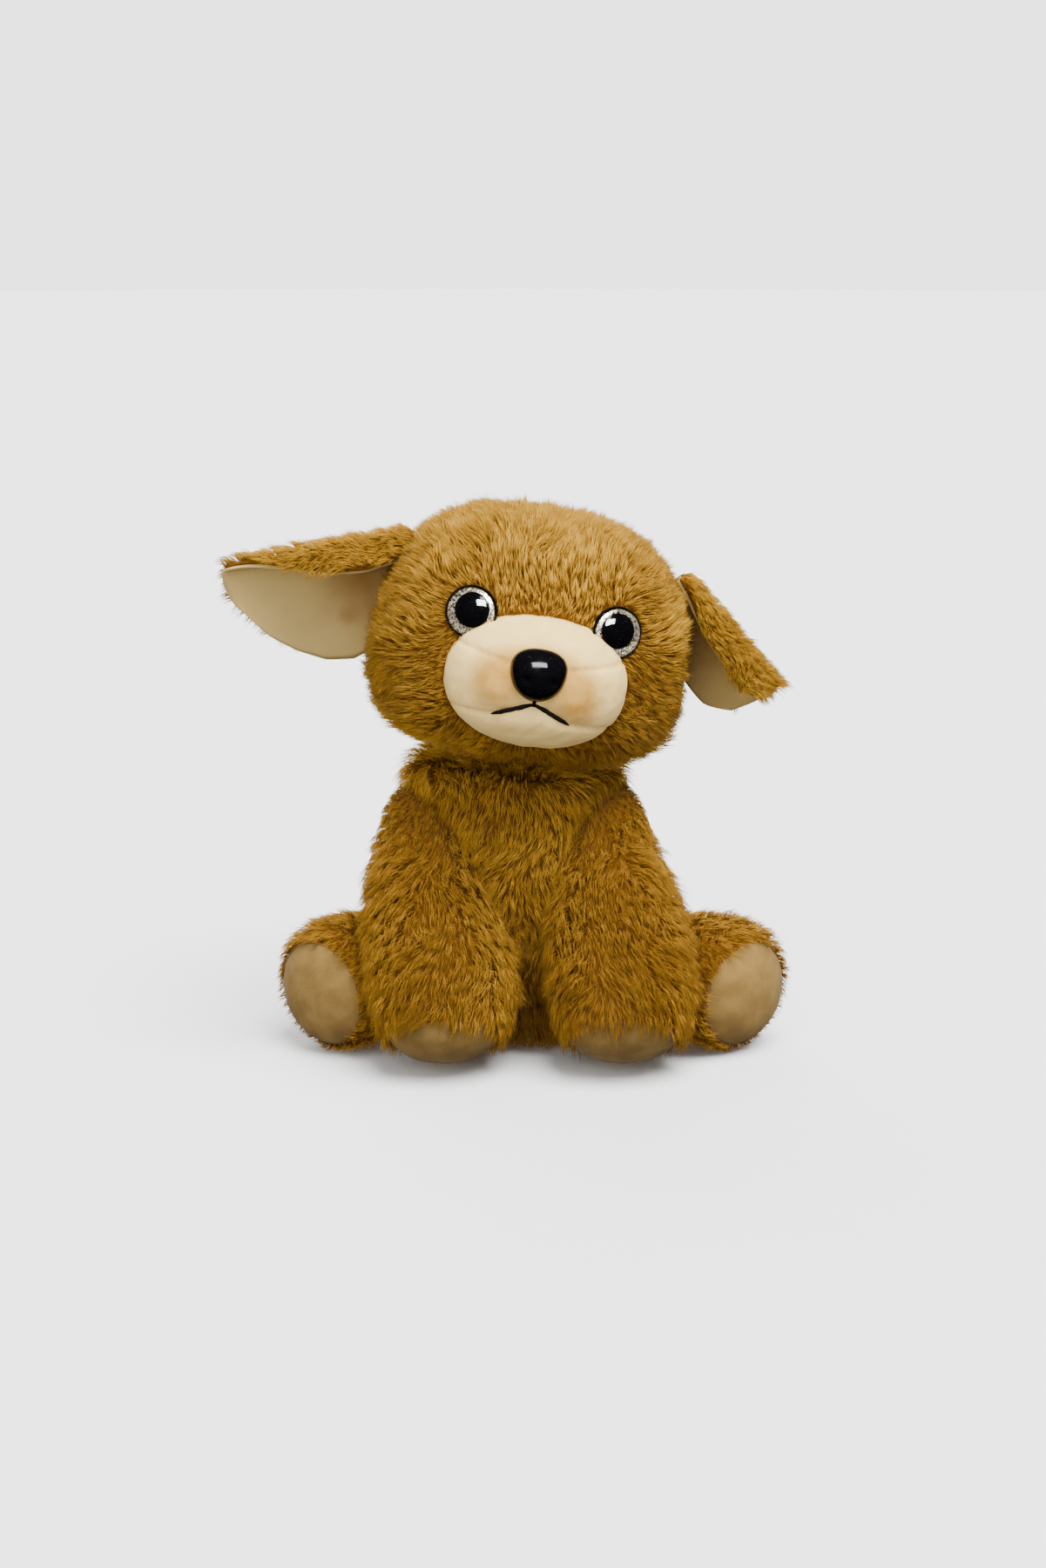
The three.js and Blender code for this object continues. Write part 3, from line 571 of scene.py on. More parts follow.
def blow_up(piece, swell, is_seam):
    """Cloth under pressure from inside, held along the seams, with each point's travel capped."""
    scene = bpy.context.scene
    before = places_of(piece.data)
    group = piece.vertex_groups.new(name="seam")
    group.add([i for i, co in enumerate(before) if is_seam(Vector(co))], 1.0, "ADD")
    cloth = piece.modifiers.new("stuffing", "CLOTH")
    cloth.settings.quality = 5
    cloth.settings.mass = 0.3
    cloth.settings.use_pressure = True
    cloth.settings.uniform_pressure_force = 4
    cloth.settings.tension_stiffness = 12
    cloth.settings.compression_stiffness = 12
    cloth.settings.bending_stiffness = 0.2
    cloth.settings.effector_weights.gravity = 0
    cloth.settings.vertex_group_mass = "seam"
    for step in range(1, sizes().frames + 1):
        scene.frame_set(step)
    apply_modifiers(piece)
    scene.frame_set(1)
    travel = places_of(piece.data) - before
    length = np.linalg.norm(travel, axis=1, keepdims=True)
    move_to(piece.data, before + travel * np.minimum(1.0, swell / np.maximum(length, 1e-9)))


def smooth(bm, times):
    for _ in range(times):
        bmesh.ops.smooth_vert(bm, verts=bm.verts[:], factor=0.5, use_axis_x=True, use_axis_y=True,
                              use_axis_z=True)


def shrink(bm, depth):
    """Takes a form in along its normals, to leave room for the swell of its filling."""
    for vert in bm.verts:
        vert.co -= vert.normal * depth


def tube(path, radii, sides=10):
    """A round tube along a path with its own radius at each point."""
    bm = bmesh.new()
    loop = None
    for i, (point, radius) in enumerate(zip(path, radii)):
        before, after = path[max(i - 1, 0)], path[min(i + 1, len(path) - 1)]
        turn = (after - before).to_track_quat("Z", "Y").to_matrix().to_4x4()
        where = Matrix.Translation(point) @ turn
        ring = bmesh.ops.create_circle(bm, segments=sides, radius=radius, matrix=where)["verts"]
        edges = list({e for v in ring for e in v.link_edges})
        if loop:
            bmesh.ops.bridge_loops(bm, edges=loop + edges)
        loop = edges
    bmesh.ops.holes_fill(bm, edges=bm.edges[:], sides=0)
    bmesh.ops.recalc_face_normals(bm, faces=bm.faces[:])
    return bm


def joined(*parts):
    """Several bmeshes as one."""
    bm = bmesh.new()
    for part in parts:
        mesh = bpy.data.meshes.new("part")
        part.to_mesh(mesh)
        part.free()
        bm.from_mesh(mesh)
        bpy.data.meshes.remove(mesh)
    return bm


# ---------------------------------------------------------------- pile

STRAND_BELLY = 1.7  # how much thicker a strand is halfway up than at its root
ROOT_SUNK = 0.6 * MM
SWIRL_SIZE = 16 * MM
SWIRL_SEED = 1
TUFT_REACH = 5 * MM
FLOOR_GAP = 0.25 * MM


def strand_form():
    """Points and faces of one closed three-sided strand along Z from 0 to 1, with a ring halfway."""
    bm = bmesh.new()
    bmesh.ops.create_cone(bm, cap_ends=True, segments=3, radius1=1, radius2=0, depth=1,
                          matrix=Matrix.Translation((0, 0, 0.5)))
    bmesh.ops.remove_doubles(bm, verts=bm.verts[:], dist=1e-5)
    bmesh.ops.bisect_plane(bm, geom=bm.verts[:] + bm.edges[:] + bm.faces[:], plane_co=(0, 0, 0.5),
                           plane_no=(0, 0, 1))
    for vert in bm.verts:
        if 0.4 < vert.co.z < 0.6:
            vert.co.x *= STRAND_BELLY
            vert.co.y *= STRAND_BELLY
    bmesh.ops.recalc_face_normals(bm, faces=bm.faces[:])
    points = np.array([v.co for v in bm.verts])
    faces = [[v.index for v in f.verts] for f in bm.faces]
    bm.free()
    return points, faces


def unit(vectors):
    return vectors / np.maximum(np.linalg.norm(vectors, axis=1, keepdims=True), 1e-9)


def clipped(values):
    """Shares kept between 0 and 1."""
    return np.clip(values, 0, 1)


def scattered(mesh, count, rng, keep):
    """Points and normals spread over a mesh's triangles by area times keep(points, normals)."""
    mesh.calc_loop_triangles()
    corners = np.empty(len(mesh.loop_triangles) * 3, np.int32)
    mesh.loop_triangles.foreach_get("vertices", corners)
    corners = corners.reshape(-1, 3)
    places = places_of(mesh).astype(float)
    normals = np.array([v.normal for v in mesh.vertices])
    a, b, c = (places[corners[:, k]] for k in range(3))
    cross = np.cross(b - a, c - a)
    weight = np.linalg.norm(cross, axis=1) * keep((a + b + c) / 3, unit(cross))
    pick = rng.choice(len(corners), size=count, p=weight / weight.sum())
    u = rng.random(count)
    v = rng.random(count)
    over = u + v > 1
    u[over] = 1 - u[over]
    v[over] = 1 - v[over]
    share = np.stack([1 - u - v, u, v], axis=1)[:, :, None]
    points = (places[corners[pick]] * share).sum(axis=1)
    return points, unit((normals[corners[pick]] * share).sum(axis=1))


def clump_of(points, rng, spacing):
    """For each strand the index of its tuft, and the indices of the tufts' middle strands."""
    middles = rng.choice(len(points), size=max(2, len(points) // spacing), replace=False)
    tree = KDTree(len(middles))
    for i, k in enumerate(middles):
        tree.insert(points[k], i)
    tree.balance()
    return np.array([tree.find(p)[1] for p in points]), middles


def swirl(points):
    """A smooth random direction at each point, the same in every run."""
    noise.seed_set(SWIRL_SEED)
    return np.array([noise.noise_vector(Vector(p) / SWIRL_SIZE) for p in points])


def level(vectors, normals):
    """The part of each vector that lies along the skin."""
    return vectors - normals * (vectors * normals).sum(axis=1, keepdims=True)


def everywhere(points, normals):
    return np.ones(len(points))


def grow_pile(name, skin, body, count, seed, flow, length, tone=None, keep=everywhere, lift=(60, 20),
              lay=None, floor=True, tuft=11):
    """A pile of bent strands rooted in a skin and combed along flow(points, normals), as one piece.

    length, tone and lay give each point its share of the pile's length, its lightness and how flat it lies.
    lift holds the two angles at which a strand's halves stand up, and tuft the number of strands in one tuft.
    """
    rng = np.random.default_rng(seed)
    count = int(count * sizes().density)
    points, normals = scattered(skin, count, rng, keep)
    tufts, middles = clump_of(points, rng, tuft)

    comb = unit(level(flow(points, normals), normals))
    comb = comb + swirl(points[middles])[tufts] + rng.normal(0, 0.16, (count, 3))
    comb = unit(level(comb, normals))

    full = sizes().pile * length(points)
    full = full * rng.uniform(0.85, 1.12, len(middles))[tufts] * rng.uniform(0.72, 1.08, count)
    tilt = np.radians(rng.normal(0, 8, len(middles))[tufts] + rng.normal(0, 7, count))
    flat = 1 - (lay(points) if lay else np.zeros(count))
    low, high = (np.radians(angle) * flat + tilt for angle in lift)

    def rise(angle):
        return normals * np.sin(angle)[:, None] + comb * np.cos(angle)[:, None]

    half = full[:, None] * 0.5
    middle = rise(low) * half
    tip = middle + rise(high) * half

    # Each tuft's strands lean to its middle strand, the more the closer they stand to it.
    pull = rng.uniform(0.1, 0.6, count)[:, None]
    centre = points[middles][tufts]
    tuft_tip = centre + tip[middles][tufts] - points
    tuft_middle = centre + middle[middles][tufts] - points
    away = np.linalg.norm(centre - points, axis=1, keepdims=True)
    pull = pull * clipped(1.3 - away / TUFT_REACH)
    tip = tip + (tuft_tip - tip) * pull
    middle = middle + (tuft_middle - middle) * pull * 0.35

    # A strand follows the curve through its root, its middle and its tip.
    form, faces = strand_form()
    roots = points - normals * ROOT_SUNK
    along = form[:, 2]
    bend = np.stack([(1 - along) * (1 - 2 * along), 4 * along * (1 - along), along * (2 * along - 1)], axis=1)
    spine = (roots[:, None] * bend[None, :, 0, None] + (points + middle)[:, None] * bend[None, :, 1, None]
             + (points + tip)[:, None] * bend[None, :, 2, None])
    ahead = unit(points + tip - roots)
    side = unit(np.cross(ahead, normals))
    over = np.cross(side, ahead)
    thick = sizes().strand * rng.uniform(0.75, 1.2, count)[:, None, None]
    places = spine + (side[:, None] * form[None, :, 0, None] + over[:, None] * form[None, :, 1, None]) * thick
    if floor:
        places[:, :, 2] = np.maximum(places[:, :, 2], FLOOR_GAP)

    shade = 0.5 + (tone(points) if tone else 0) + rng.normal(0, 0.09, len(middles))[tufts]
    shade = np.clip(shade + rng.normal(0, 0.12, count), 0.03, 0.97)
    mesh = strands_mesh(name, places, form, faces, shade)
    mesh.materials.append(pile_finish())
    piece = bpy.data.objects.new(name, mesh)
    bpy.context.scene.collection.objects.link(piece)
    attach(piece, body)
    return piece


def strands_mesh(name, places, form, faces, shade):
    """Every strand's points and faces in one mesh, with the tone and the way up the strand as its map."""
    count, each = places.shape[:2]
    corners = np.concatenate([np.array(face) for face in faces])
    starts = np.cumsum([0] + [len(face) for face in faces])[:-1]
    mesh = bpy.data.meshes.new(name)
    mesh.vertices.add(count * each)
    mesh.vertices.foreach_set("co", places.astype(np.float32).ravel())
    mesh.loops.add(count * len(corners))
    strand = np.arange(count)[:, None]
    mesh.loops.foreach_set("vertex_index", (corners[None] + strand * each).ravel())
    mesh.polygons.add(count * len(faces))
    mesh.polygons.foreach_set("loop_start", (starts[None] + strand * len(corners)).ravel())
    mesh.update(calc_edges=True)
    mesh.shade_smooth()
    layer = mesh.uv_layers.new(name="OFBake")
    across = shade[:, None] + 0.004 * form[corners, 0][None]
    up = np.broadcast_to(0.02 + 0.96 * form[corners, 2][None], across.shape)
    layer.data.foreach_set("uv", np.stack([across, up], axis=2).astype(np.float32).ravel())
    return mesh


# ---------------------------------------------------------------- forms of the dog


def head_point(direction):
    """The head's skin in one direction: a rounded block, narrower at the crown."""
    point = rounded(direction, HEAD_HALF, HEAD_SQUARE)
    point.x *= 1 - 0.07 * point.z / HEAD_HALF.z
    if point.z < 0:
        point.z *= HEAD_UNDER
    return HEAD_FRAME @ (point + HEAD_AT)


def to_head(points):
    """Points in the head's own frame."""
    turn = np.array(HEAD_FRAME.inverted())
    return points @ turn[:3, :3].T + turn[:3, 3]


def eye_frame(side):
    """The placement of an eye: its back rests on the head and its own Z looks out."""
    x, z = side * EYE_SIDE / HEAD_HALF.x, EYE_RISE / HEAD_HALF.z
    y = (1 - abs(x) ** HEAD_SQUARE - abs(z) ** HEAD_SQUARE) ** (1 / HEAD_SQUARE)
    out = Vector((side * 0.3, -0.94, 0.12)).normalized()
    point = Vector((x * HEAD_HALF.x, -y * HEAD_HALF.y, z * HEAD_HALF.z)) + HEAD_AT - out * EYE_SINK
    return HEAD_FRAME @ Matrix.Translation(point) @ UP.rotation_difference(out).to_matrix().to_4x4()


def ear_frame(side):
    """The ear's own frame: X from root to tip, Y out of the pile side."""
    ear = EARS[side]
    x = Vector(ear["along"]).normalized()
    y = Vector(ear["pile"])
    y = (y - x * y.dot(x)).normalized()
    turn = Matrix((x, y, x.cross(y))).transposed().to_4x4()
    return HEAD_FRAME @ Matrix.Translation(Vector(ear["root"]) * MM) @ turn


def fold_over(across, off):
    """Where a point of the leaf goes when the part above the ridge is folded to the front."""
    angle = min(max(across / EAR_RIDGE, 0), EAR_FOLD)
    rest = across - EAR_RIDGE * angle if across > 0 else across
    up = (EAR_RIDGE + off) * math.sin(angle) + rest * math.cos(angle)
    out = (EAR_RIDGE + off) * math.cos(angle) - EAR_RIDGE - rest * math.sin(angle)
    return up, out


def ear_sheet(side, off, extra=0.0):
    """One layer of the ear at its distance off the folded line, its faces looking out of the pile side."""
    ear = EARS[side]
    hand = SIDES[side]
    bm = bmesh.new()
    bmesh.ops.create_grid(bm, x_segments=26, y_segments=40, size=1)
    for vert in bm.verts:
        share, across = (vert.co.x + 1) / 2, vert.co.y
        table = ear["flap"] if across > 0 else ear["hang"]
        width = np.interp(share * (len(table) - 1), range(len(table)), table) * MM + extra
        round_off = 1 - 0.16 * max(0.0, (share - 0.82) / 0.18) ** 2
        up, out = fold_over(across * width * round_off, off)
        wave = math.sin(share * 7.5 + across * 2.0) * 1.3 * MM * abs(across) ** 2
        x = -EAR_TUCK + share * (ear["length"] * MM + EAR_TUCK + extra)
        vert.co = (x - 2.5 * MM * across * across * share, out + wave, hand * (up + EAR_RISE))
    bmesh.ops.transform(bm, matrix=ear_frame(side), verts=bm.verts[:])
    bm.normal_update()
    outward = ear_frame(side).to_3x3() @ Vector((0, 1, 0))
    nearest = min(bm.faces, key=lambda f: (f.calc_center_median() - ear_frame(side).translation).length)
    if nearest.normal.dot(outward) < 0:
        bmesh.ops.reverse_faces(bm, faces=bm.faces[:])
    return bm


def limb_profile(limb, taken_in):
    """Rows of radius and height along a limb: a ball at the pivot, a fuller middle and a round paw."""
    inner, outer = limb["root"] - taken_in, limb["paw"] - taken_in
    rows = [(inner * math.cos(a), inner * math.sin(a)) for a in np.linspace(-math.pi / 2, 0, 9)[1:]]
    blunt = outer * 0.72
    bulge = limb["reach"] - taken_in - blunt
    for share in np.linspace(0, 1, 9)[1:-1]:
        radius = inner + (outer - inner) * ease(share) + limb["belly"] * math.sin(math.pi * share)
        rows.append((radius, bulge * share))
    for a in np.linspace(0, math.pi / 2, 9)[:-1]:
        rows.append((outer * math.cos(a) ** 0.8, bulge + blunt * math.sin(a)))
    rows = [(0.0, -inner), *rows, (0.0, bulge + blunt)]
    return [(radius * MM, height * MM) for radius, height in rows]


def limb_frame(pivot, tip):
    """The limb's own frame: Z from the pivot to the tip, and X level."""
    along = (tip - pivot).normalized()
    side = UP.cross(along).normalized()
    rise = side.cross(along).normalized()
    turn = Matrix((rise.cross(along), rise, along)).transposed().to_4x4()
    return Matrix.Translation(pivot) @ turn


def limb_places(kind, side):
    """Pivot and tip of a leg on its own side."""
    limb = LIMBS[kind]
    mirror = Vector((SIDES[side], 1, 1))
    return [Vector(limb[key]) * mirror * MM for key in ("pivot", "tip")]


def lean(z):
    """How far the body and the forelegs have slumped sideways at one height."""
    return LEAN * ease((z - 25 * MM) / (80 * MM))


def slump(mesh, shoulders=0.0):
    """Leans a form sideways, and widens and lifts it towards the shoulders."""
    for vert in mesh.vertices:
        high = ease((vert.co.z - 85 * MM) / (35 * MM))
        off_neck = math.hypot(vert.co.x, vert.co.y - TOP_LEAN)
        outer = min(max((off_neck - 10 * MM) / (20 * MM), 0.0), 1.0)
        vert.co.x = vert.co.x * (1 + shoulders * high) + lean(vert.co.z)
        vert.co.z += shoulders * 18 * MM * high * outer
    mesh.update()


def torso_form():
    """The body as a turned form that leans from the seat to the neck."""
    rows = [(radius * MM, height * MM) for radius, height in BODY_ROWS]
    bm = turned([(0.0, 0.0), *rows, (0.0, BODY_HEIGHT)], 48)
    bmesh.ops.subdivide_edges(bm, edges=bm.edges[:], cuts=1, use_grid_fill=True)
    for vert in bm.verts:
        share = vert.co.z / BODY_HEIGHT
        vert.co.y = vert.co.y * BODY_DEPTH + SEAT_LEAN + (TOP_LEAN - SEAT_LEAN) * share
    return bm


def surface_of(nodes):
    """A search tree of the named CAD nodes' faces."""
    points, faces = [], []
    for name in nodes:
        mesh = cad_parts[name].data
        start = len(points)
        points += [tuple(v.co) for v in mesh.vertices]
        faces += [tuple(start + i for i in p.vertices) for p in mesh.polygons]
    return BVHTree.FromPolygons(points, faces)


# ---------------------------------------------------------------- operators


FLOOR_RADIUS = 9
CAMERA_AWAY = 1.2


class DOG_OT_stage(bpy.types.Operator):
    """Lay the pale floor, hang the soft lights and set up the camera"""

    bl_idname = "dog.stage"
    bl_label = "Studio"
    bl_options = {"REGISTER", "UNDO"}

    def execute(self, context):
        scene = context.scene
        bm = bmesh.new()
        bmesh.ops.create_circle(bm, cap_ends=True, segments=96, radius=FLOOR_RADIUS)
        paint = Paint("studio_floor", Roughness=0.8, Specular_IOR_Level=0.1)
        grain = paint.noise(30.0, 2.0)
        floor_colour = colours().floor
        paint.feed(Base_Color=paint.mix(grain, mixed(floor_colour, (0, 0, 0), 0.01), floor_colour))
        floor = piece_of("studio_floor", bm, paint.material)
        floor.visible_diffuse = False
        floor.visible_glossy = False
        scene.world = self.backdrop()

        self.sun("key", (0.28, -0.42, 1.0), 10.5, 45)
        self.sun("fill", (-0.5, -1.0, 0.5), 2.2, 60)
        self.sun("back", (-0.4, 1.0, 0.6), 3.2, 60)
        self.catchlight(Vector((0.2, -1.0, 0.85)), Vector((0, -0.03, 0.11)))

        camera = bpy.data.objects.new("camera", bpy.data.cameras.new("camera"))
        scene.collection.objects.link(camera)
        scene.camera = camera
        elevation = math.radians(12)
        back = Vector((0, -math.cos(elevation), math.sin(elevation)))
        camera.location = Vector((-4.3, -30, 115)) * MM + back * CAMERA_AWAY
        camera.rotation_euler = (-back).to_track_quat("-Z", "Y").to_euler()
        camera.data.sensor_width = 36
        camera.data.lens = 64.8
        return {"FINISHED"}

    def backdrop(self):
        """A soft sky, dim overhead and as bright as the floor at the horizon."""
        world = bpy.data.worlds.new("studio")
        world.use_nodes = True
        tree = world.node_tree
        way = tree.nodes.new("ShaderNodeTexCoord").outputs["Generated"]
        split = tree.nodes.new("ShaderNodeSeparateXYZ")
        tree.links.new(way, split.inputs[0])
        height = tree.nodes.new("ShaderNodeMath")
        height.operation = "ABSOLUTE"
        tree.links.new(split.outputs["Z"], height.inputs[0])
        strength = tree.nodes.new("ShaderNodeMapRange")
        strength.interpolation_type = "SMOOTHSTEP"
        for key, value in {"From Min": 0.07, "From Max": 0.16, "To Min": 3.0, "To Max": 0.4}.items():
            strength.inputs[key].default_value = value
        tree.links.new(height.outputs[0], strength.inputs["Value"])
        background = tree.nodes["Background"]
        background.inputs["Color"].default_value = (1.0, 0.99, 0.98, 1.0)
        tree.links.new(strength.outputs[0], background.inputs["Strength"])
        world.cycles_visibility.glossy = False
        return world

    def sun(self, name, place, power, spread):
        """A far lamp in the direction of a place, as wide as its spread in degrees, that leaves no glint."""
        light = bpy.data.lights.new(name, "SUN")
        light.energy = power
        light.angle = math.radians(spread)
        lamp = bpy.data.objects.new(name, light)
        lamp.rotation_euler = (-Vector(place)).to_track_quat("-Z", "Y").to_euler()
        lamp.visible_glossy = False
        bpy.context.scene.collection.objects.link(lamp)

    def catchlight(self, place, aim):
        """A window of light that shows in the eyes and the nose only."""
        light = bpy.data.lights.new("catchlight", "AREA")
        light.shape = "RECTANGLE"
        light.size = 0.6
        light.size_y = 0.36
        light.energy = 45
        lamp = bpy.data.objects.new("catchlight", light)
        lamp.location = place
        lamp.rotation_euler = (aim - place).to_track_quat("-Z", "Y").to_euler()
        lamp.visible_diffuse = False
        bpy.context.scene.collection.objects.link(lamp)


class DOG_OT_torso(bpy.types.Operator):
    """Stuff the body and grow its pile"""

    bl_idname = "dog.torso"
    bl_label = "Body"
    bl_options = {"REGISTER", "UNDO"}

    panels = ("torso_belly_panel", "torso_left_panel", "torso_right_panel", "torso_seat_panel")

    def execute(self, context):
        swell = sizes().swell
        bm = torso_form()
        tree = surface_of(self.panels)
        for vert in bm.verts:
            vert.co = tree.find_nearest(vert.co)[0]
        smooth(bm, 3)
        shrink(bm, swell * 0.6)
        belly = Vector((0, -28, 60)) * MM
        way = Vector((0, -1, -0.18)).normalized()

        def seam(point):
            return 4 * MM < point.z < 9 * MM or abs((point - belly).dot(way)) < 2 * MM

        skin = stuffed("torso_skin", bm, painted_shade_backing_finish(), sizes().voxel, swell, seam)
        keep_above_floor(skin.data)
        slump(skin.data, FULL_SHOULDERS)
        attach(skin, "torso")
        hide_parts(*self.panels, "torso_filling", "pellet_bag")

        def flow(points, normals):
            """Down the body, and outwards from its middle."""
            down = np.stack([points[:, 0] * 9, normals[:, 1] * 0.25, np.full(len(points), -1.0)], axis=1)
            return down + normals * 0.2

        def length(points):
            low = clipped((12 * MM - points[:, 2]) / (12 * MM))
            collar = clipped((points[:, 2] - 112 * MM) / (12 * MM))
            return 1.05 - 0.5 * low + 0.25 * collar

        # Painted shade: the pile darkens towards the seat and the belly and is lighter up to the chest.
        def tone(points):
            return 0.66 * clipped((points[:, 2] - 20 * MM) / (75 * MM)) - 0.42

        def front(points, normals):
            return (normals[:, 1] < -0.12) * (points[:, 2] > 2 * MM) * 1.0

        def left(points, normals):
            return (normals[:, 1] >= -0.12) * (points[:, 0] >= 0) * (points[:, 2] > 1 * MM) * 1.0

        def right(points, normals):
            return (normals[:, 1] >= -0.12) * (points[:, 0] <= 0) * (points[:, 2] > 1 * MM) * 1.0

        grow_pile("torso_belly_pile", skin.data, "torso", 18000, 11, flow, length, tone, front)
        grow_pile("torso_left_pile", skin.data, "torso", 10500, 12, flow, length, tone, left)
        grow_pile("torso_right_pile", skin.data, "torso", 10500, 13, flow, length, tone, right)
        return {"FINISHED"}


class DOG_OT_head(bpy.types.Operator):
    """Stuff the head and grow its pile round the eyes and the muzzle"""

    bl_idname = "dog.head"
    bl_label = "Head"
    bl_options = {"REGISTER", "UNDO"}

    def execute(self, context):
        swell = sizes().swell
        bm = even_ball(26, head_point)
        shrink(bm, swell * 0.6)

        def crown_seam(point):
            across = (HEAD_FRAME.inverted() @ point - HEAD_AT).x
            return abs(abs(across) - CROWN_HALF) < 1.5 * MM

        skin = stuffed("head_skin", bm, painted_shade_backing_finish(), sizes().voxel, swell, crown_seam)
        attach(skin, "head")
        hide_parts("head_crown_panel", "head_left_panel", "head_right_panel", "head_filling")

        self.grow(skin.data)
        return {"FINISHED"}

    def grow(self, skin):
        """Pile that starts short round the eyes and the muzzle and is combed away from the nose."""
        eyes = [to_head(np.array([eye_frame(side).translation]))[0] for side in (1, -1)]
        muzzle = np.array(MUZZLE_AT)
        outline = np.array(MUZZLE_HALF) + 0.5 * MM
        nose = muzzle + np.array((0, -10 * MM, 6 * MM))

        def from_muzzle(local):
            """About how far a place is from the muzzle's outline on the face."""
            share = np.abs((local - muzzle) / outline) ** MUZZLE_SQUARE
            return ((share[:, 0] + share[:, 2]) ** (1 / MUZZLE_SQUARE) - 1) * 30 * MM

        def on_face(local):
            return local[:, 1] < muzzle[1] + 20 * MM

        def from_eye(local, eye):
            return np.linalg.norm(local - eye, axis=1)

        def keep(points):
            local = to_head(points)
            bare = on_face(local) & (from_muzzle(local) < -2.2 * MM)
            for eye in eyes:
                bare |= from_eye(local, eye) < 9.8 * MM
            return ~bare * 1.0

        def length(points):
            local = to_head(points)
            near = np.where(on_face(local), clipped(from_muzzle(local) / (13 * MM)), 1)
            near = np.minimum(near, clipped((local[:, 1] + 70 * MM) / (30 * MM) + 0.55))
            for eye in eyes:
                near = np.minimum(near, clipped((from_eye(local, eye) - 9.5 * MM) / (11 * MM)))
            under = clipped((4 * MM - local[:, 2]) / (10 * MM))
            jowl = clipped((np.abs(local[:, 0]) - 32 * MM) / (20 * MM))
            jowl = jowl * clipped((35 * MM - local[:, 2]) / (30 * MM))
            return (0.5 + 0.5 * near) * (1 - 0.2 * under) * (1 + 0.3 * jowl)

        def flow(points, normals):
            local = to_head(points)
            way = unit(local - nose) + unit(local - np.array(HEAD_AT)) * 0.2
            for eye in eyes:
                away = from_eye(local, eye)[:, None]
                way += unit(local - eye) * np.exp(-((away / (16 * MM)) ** 2)) * 1.6
            return way @ np.array(HEAD_FRAME)[:3, :3].T

        # Painted light from above: the pile is lighter towards the crown and darker low on the head.
        def tone(points):
            return 0.04 + 0.16 * np.clip((to_head(points)[:, 2] - 40 * MM) / (50 * MM), -0.6, 1)

        def across(points):
            return to_head(points)[:, 0] - HEAD_AT.x

        def crown(points, normals):
            return keep(points) * (np.abs(across(points)) <= CROWN_HALF)

        def left(points, normals):
            return keep(points) * (across(points) > CROWN_HALF)

        def right(points, normals):
            return keep(points) * (across(points) < -CROWN_HALF)

        for seed, (part, where) in enumerate((("crown", crown), ("left", left), ("right", right)), 21):
            grow_pile(f"head_{part}_pile", skin, "head", 19500, seed, flow, length, tone, where, floor=False)


def mouth_height(across):
    """Height of the mouth's seam over its width, in the head's frame."""
    away = abs(across - MOUTH_AT[0])
    share = min(away / MOUTH_HALF, 1.0)
    beyond = max(away - MOUTH_HALF, 0.0)
    return MOUTH_AT[1] - MOUTH_FALL * share ** 1.25 - beyond * 0.12


def panel_seam(across):
    """Height of the seam that runs from each side of the muzzle to the nose, in the head's frame."""
    return NOSE_AT[1] + 1.5 * MM + 0.13 * abs(across - NOSE_AT[0])


def muzzle_point(direction):
    """The muzzle: full cheeks beside the nose, a cleft below it, a chin, and a valley along the mouth."""
    local = rounded(direction, MUZZLE_HALF, MUZZLE_SQUARE)
    ahead = max(0.0, -local.y / MUZZLE_HALF.y)
    place = local + MUZZLE_AT
    dx = (place.x - MOUTH_AT[0]) / MM
    dz = (place.z - mouth_height(place.x)) / MM
    cheek = math.exp(-((abs(dx) - 15) / 9) ** 2 - ((dz - 9) / 9) ** 2) * 1.6
    chin = math.exp(-(dx / 15) ** 2 - ((dz + 8) / 6) ** 2)
    valley = math.exp(-((dz / 1.9) ** 2)) * 1.5 * min(1.0, 0.35 + math.exp(-(dx / 17) ** 4))
    cleft = math.exp(-((dx / 2.2) ** 2)) * (0.8 if 0 < dz < 12 else 0.0)
    out = (cheek + chin - valley - cleft) * ahead * MM
    return HEAD_FRAME @ (place + local.normalized() * out)


class DOG_OT_muzzle(bpy.types.Operator):
    """Stuff the velour muzzle and chin"""

    bl_idname = "dog.muzzle"
    bl_label = "Muzzle"
    bl_options = {"REGISTER", "UNDO"}

    def execute(self, context):
        bm = even_ball(30, muzzle_point)
        shrink(bm, 0.5 * MM)

        def seam(point):
            local = HEAD_FRAME.inverted() @ point
            return local.y < MUZZLE_AT.y and abs(local.z - mouth_height(local.x)) < 1.3 * MM

        skin = stuffed("muzzle_skin", bm, velour_finish(), 2.3 * MM, 1.0 * MM, seam)
        self.sew(skin.data)
        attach(skin, "head")
        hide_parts("muzzle_cover", "chin_cover", "muzzle_filling")
        return {"FINISHED"}

    def sew(self, mesh):
        """Pulls in the seams between the panels and leaves the cloth a little uneven."""
        back = HEAD_FRAME.inverted()
        places = []
        for vert in mesh.vertices:
            local = back @ vert.co
            ahead = min(max((MUZZLE_AT.y - local.y) / (10 * MM), 0.0), 1.0)
            seam = math.exp(-(((local.z - panel_seam(local.x)) / (0.9 * MM)) ** 2))
            seam *= 0.9 if abs(local.x - NOSE_AT[0]) > 8 * MM else 0.0
            mouth = math.exp(-(((local.z - mouth_height(local.x)) / (1.1 * MM)) ** 2)) * 0.9
            uneven = noise.noise(local * 190) * 0.35 + noise.noise(local * 420) * 0.16
            places.append(vert.co - vert.normal * (seam + mouth + uneven) * ahead * MM)
        move_to(mesh, places)


